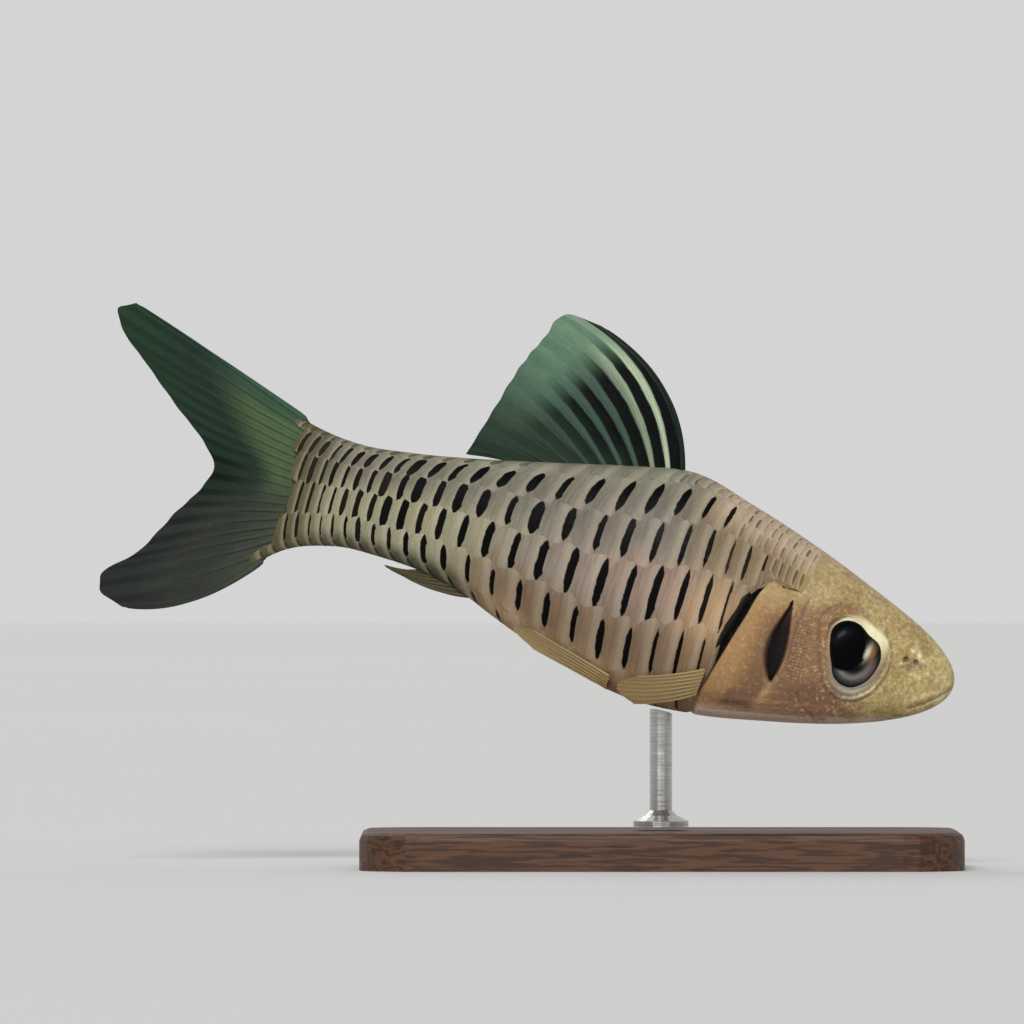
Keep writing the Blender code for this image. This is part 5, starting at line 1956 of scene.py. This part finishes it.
@dataclass(frozen=True)
class Eye:
    """One eyeball: a flattened globe whose iris and pupil are painted."""
    side: Side
    socket: EyeSocket = EyeSocket()
    rings: int = 64
    turns: int = 112
    # The pupil's middle and half axes, and the middle and size of its front corner, in mm
    pupil_middle: Spot = (-0.84, 0.44)
    pupil_size: Spot = (1.50, 2.02)
    corner_middle: Spot = (0.11, -0.20)
    corner_size: float = 0.62

    def _paint(self, ahead: Array, above: Array) -> Array:
        """Iris and pupil by millimetres ahead of and above the eye's middle.

        The pupil is an ellipse with a corner drawn out to the front. Below it the iris shows a
        grey band and a slate one; in front of it lie a pale streak, which is a painted highlight,
        and an amber streak, and a dark rim follows the opening.

        Args:
            ahead: Millimetres towards the snout.
            above: Millimetres up.

        Returns:
            Linear colours.
        """
        size = MM / LENGTH
        _, angle, ratio = self.socket.polar(self.socket.place - ahead * size,
                                            self.socket.height + above * size)
        low = np.clip(facing(angle, 290.0, 62.0) + facing(angle, 250.0, 30.0), 0.0, 1.0)
        streak = (ahead - 0.94) - 0.16 * (above - 0.45)
        x = (ahead - self.pupil_middle[0]) / self.pupil_size[0]
        z = (above - self.pupil_middle[1]) / self.pupil_size[1]
        peak = np.hypot(ahead - self.corner_middle[0], above - self.corner_middle[1])
        inside = np.minimum(np.hypot(x * (1.0 + 0.10 * z), z), 0.35 + 0.65 * peak / self.corner_size)
        return coats(
            plain("iris", ahead),
            ("slate", low * hill(ratio, 0.85, 0.11)),
            ("grey", 0.95 * low * hill(ratio, 0.70, 0.095)),
            ("mauve", 0.75 * facing(angle, 325.0, 30.0) * hill(ratio, 0.78, 0.12)),
            # Painted highlight: a pale streak along the pupil's front edge
            ("eye_glint", hill(streak, 0.0, 0.24) * hill(above, 0.40, 0.62)),
            ("amber", 0.9 * hill(streak, 0.42, 0.17) * hill(above, 0.30, 0.66)),
            ("pupil", rise(1.04, 0.97, inside)),
            ("eye_rim", rise(0.91, 0.97, ratio)))

    def build(self, material: Material) -> Object:
        """Make the globe as rings about its axis, the front dome and a rounder back.

        Args:
            material: The finish.

        Returns:
            The piece.
        """
        socket = self.socket
        unit = np.linspace(0.0, 1.0, self.rings)[:, None]
        lap = np.linspace(0.0, 1.0, self.turns + 1)
        radius = socket.globe_radius * np.sin(math.pi * unit)
        ahead, above = radius * np.cos(TURN * lap), radius * np.sin(TURN * lap)
        front = socket.globe(ahead, above)
        lean = socket.tilt()
        rim = socket.globe(np.array(socket.globe_radius), np.array(0.0))
        plane = rim + lean[0] * (ahead - socket.globe_radius) + lean[1] * above
        reach = np.where(unit <= 0.5, front, 2.0 * plane - front)
        points = FORM.points(socket.place - ahead / LENGTH, -self.side.value * reach,
                             socket.height + above / LENGTH)
        paint = self._paint(ahead / MM, above / MM)
        maps = {"OFBake": bake_patch(unit, lap, (0.001, 0.001), (0.999, 0.999)),
                "EyeMap": stacked(lap, unit)}
        stock = MeshStock()
        stock.add_round(FORM.pose(points)[:, :-1], maps, {"paint": paint[:, :-1]},
                        flip=self.side is Side.LEFT)
        return stock.build(f"eyeball_{self.side.word}", material)


@dataclass(frozen=True)
class Stand:
    """The plain stand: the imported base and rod, dressed in wood and steel."""
    wood: WoodFinish = WoodFinish()
    steel: SteelFinish = SteelFinish()

    def dress(self) -> None:
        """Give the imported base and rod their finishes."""
        for node, finish, slot in (("stand_base", self.wood, Slot.WOOD),
                                   ("stand_rod", self.steel, Slot.STEEL)):
            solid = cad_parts[node]
            solid.data.materials.clear()
            solid.data.materials.append(finish.make())
            LOG.info("%s: dressed", node)


@dataclass(frozen=True)
class Studio:
    """A pale floor, soft lights and the camera that takes the photograph's view."""
    floor_radius: float = 3.0
    floor_sides: int = 96
    lens: float = 600.0
    sensor: float = 36.0
    view_width: float = 0.08176
    middle: Spot = (-0.01189, 0.02842)
    # The brightness of the world behind the object and in front of it, and how far they blend
    sky: float = 0.66
    room: float = 0.30
    blend: float = 0.35
    clip: Spot = (0.01, 20.0)
    # Name, direction in which the sun stands, power, and width in degrees
    suns: tuple = (("key", (-0.08, -0.84, 0.48), 2.45, 18.0), ("rim", (-0.40, 0.70, 0.60), 0.45, 20.0))

    def build(self) -> None:
        """Lay the floor, hang the lights and set up the camera."""
        self._floor()
        self._lights()
        self._camera()

    def _floor(self) -> None:
        """A round floor at the level of the stand's foot, a disc of points on one circle."""
        turn = np.linspace(0.0, TURN, self.floor_sides, endpoint=False)
        rim = stacked(np.cos(turn), np.sin(turn), 0.0) * self.floor_radius
        mesh = bpy.data.meshes.new("floor")
        mesh.from_pydata(rim.tolist(), [], [tuple(range(self.floor_sides))])
        mesh.materials.append(StageFinish().make())
        put_in_scene("floor", mesh)

    def _lights(self) -> None:
        """Wide soft suns, a pale backdrop as bright as the floor, and a dimmer room in front."""
        for name, towards, power, width in self.suns:
            lamp = bpy.data.lights.new(name, "SUN")
            lamp.energy = power
            lamp.angle = math.radians(width)
            holder = put_in_scene(name, lamp)
            holder.location = Vector(towards).normalized()
            holder.rotation_euler = Vector(towards).to_track_quat("Z", "Y").to_euler()
        world = bpy.data.worlds.new("studio")
        bench = NodeBench(world, "Background", Color=(1.0, 1.0, 1.0, 1.0))
        depth = bench.add("TexCoord", {}, "Generated").parts()[1]
        bench.to_last("Strength", depth.ease(-self.blend, self.blend, self.room, self.sky))
        bpy.context.scene.world = world
        bpy.context.scene.view_settings.view_transform = "Standard"

    def _camera(self) -> None:
        """A long lens, level, square to the fish, as far off as the view's width needs."""
        data = bpy.data.cameras.new("camera")
        data.lens = self.lens
        data.sensor_width = self.sensor
        data.clip_start, data.clip_end = self.clip
        camera = put_in_scene("camera", data)
        camera.location = (self.middle[0], -self.view_width * self.lens / self.sensor, self.middle[1])
        camera.rotation_euler = (math.pi / 2.0, 0.0, 0.0)
        bpy.context.scene.camera = camera


@dataclass
class Barb:
    """The whole fish: skin, scales, eyes and fins."""
    skin: Skin = field(default_factory=Skin)
    scales: Scales = field(default_factory=Scales)
    fins: Fins = Fins()

    def build(self) -> None:
        """Make and place every piece of the fish."""
        skin = self.skin.build(HeadFinish().make())
        place_piece(skin, Slot.HEAD, "head", "lower_jaw", "gill_cover_right", "gill_cover_left",
                    "trunk", "tail_stalk")
        place_piece(self.scales.build(ScaleFinish().make()), Slot.FLANK)
        gloss = EyeFinish().make()
        for side in Side:
            place_piece(Eye(side).build(gloss), Slot.EYE, f"eye_{side.word}")
        self.fins.build()


def main() -> None:
    """Build the model and the studio."""
    logging.basicConfig(level=logging.INFO, format="%(name)s: %(message)s")
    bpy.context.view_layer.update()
    Barb().build()
    Stand().dress()
    Studio().build()
    LOG.info("done")


if __name__ == "__main__":
    main()
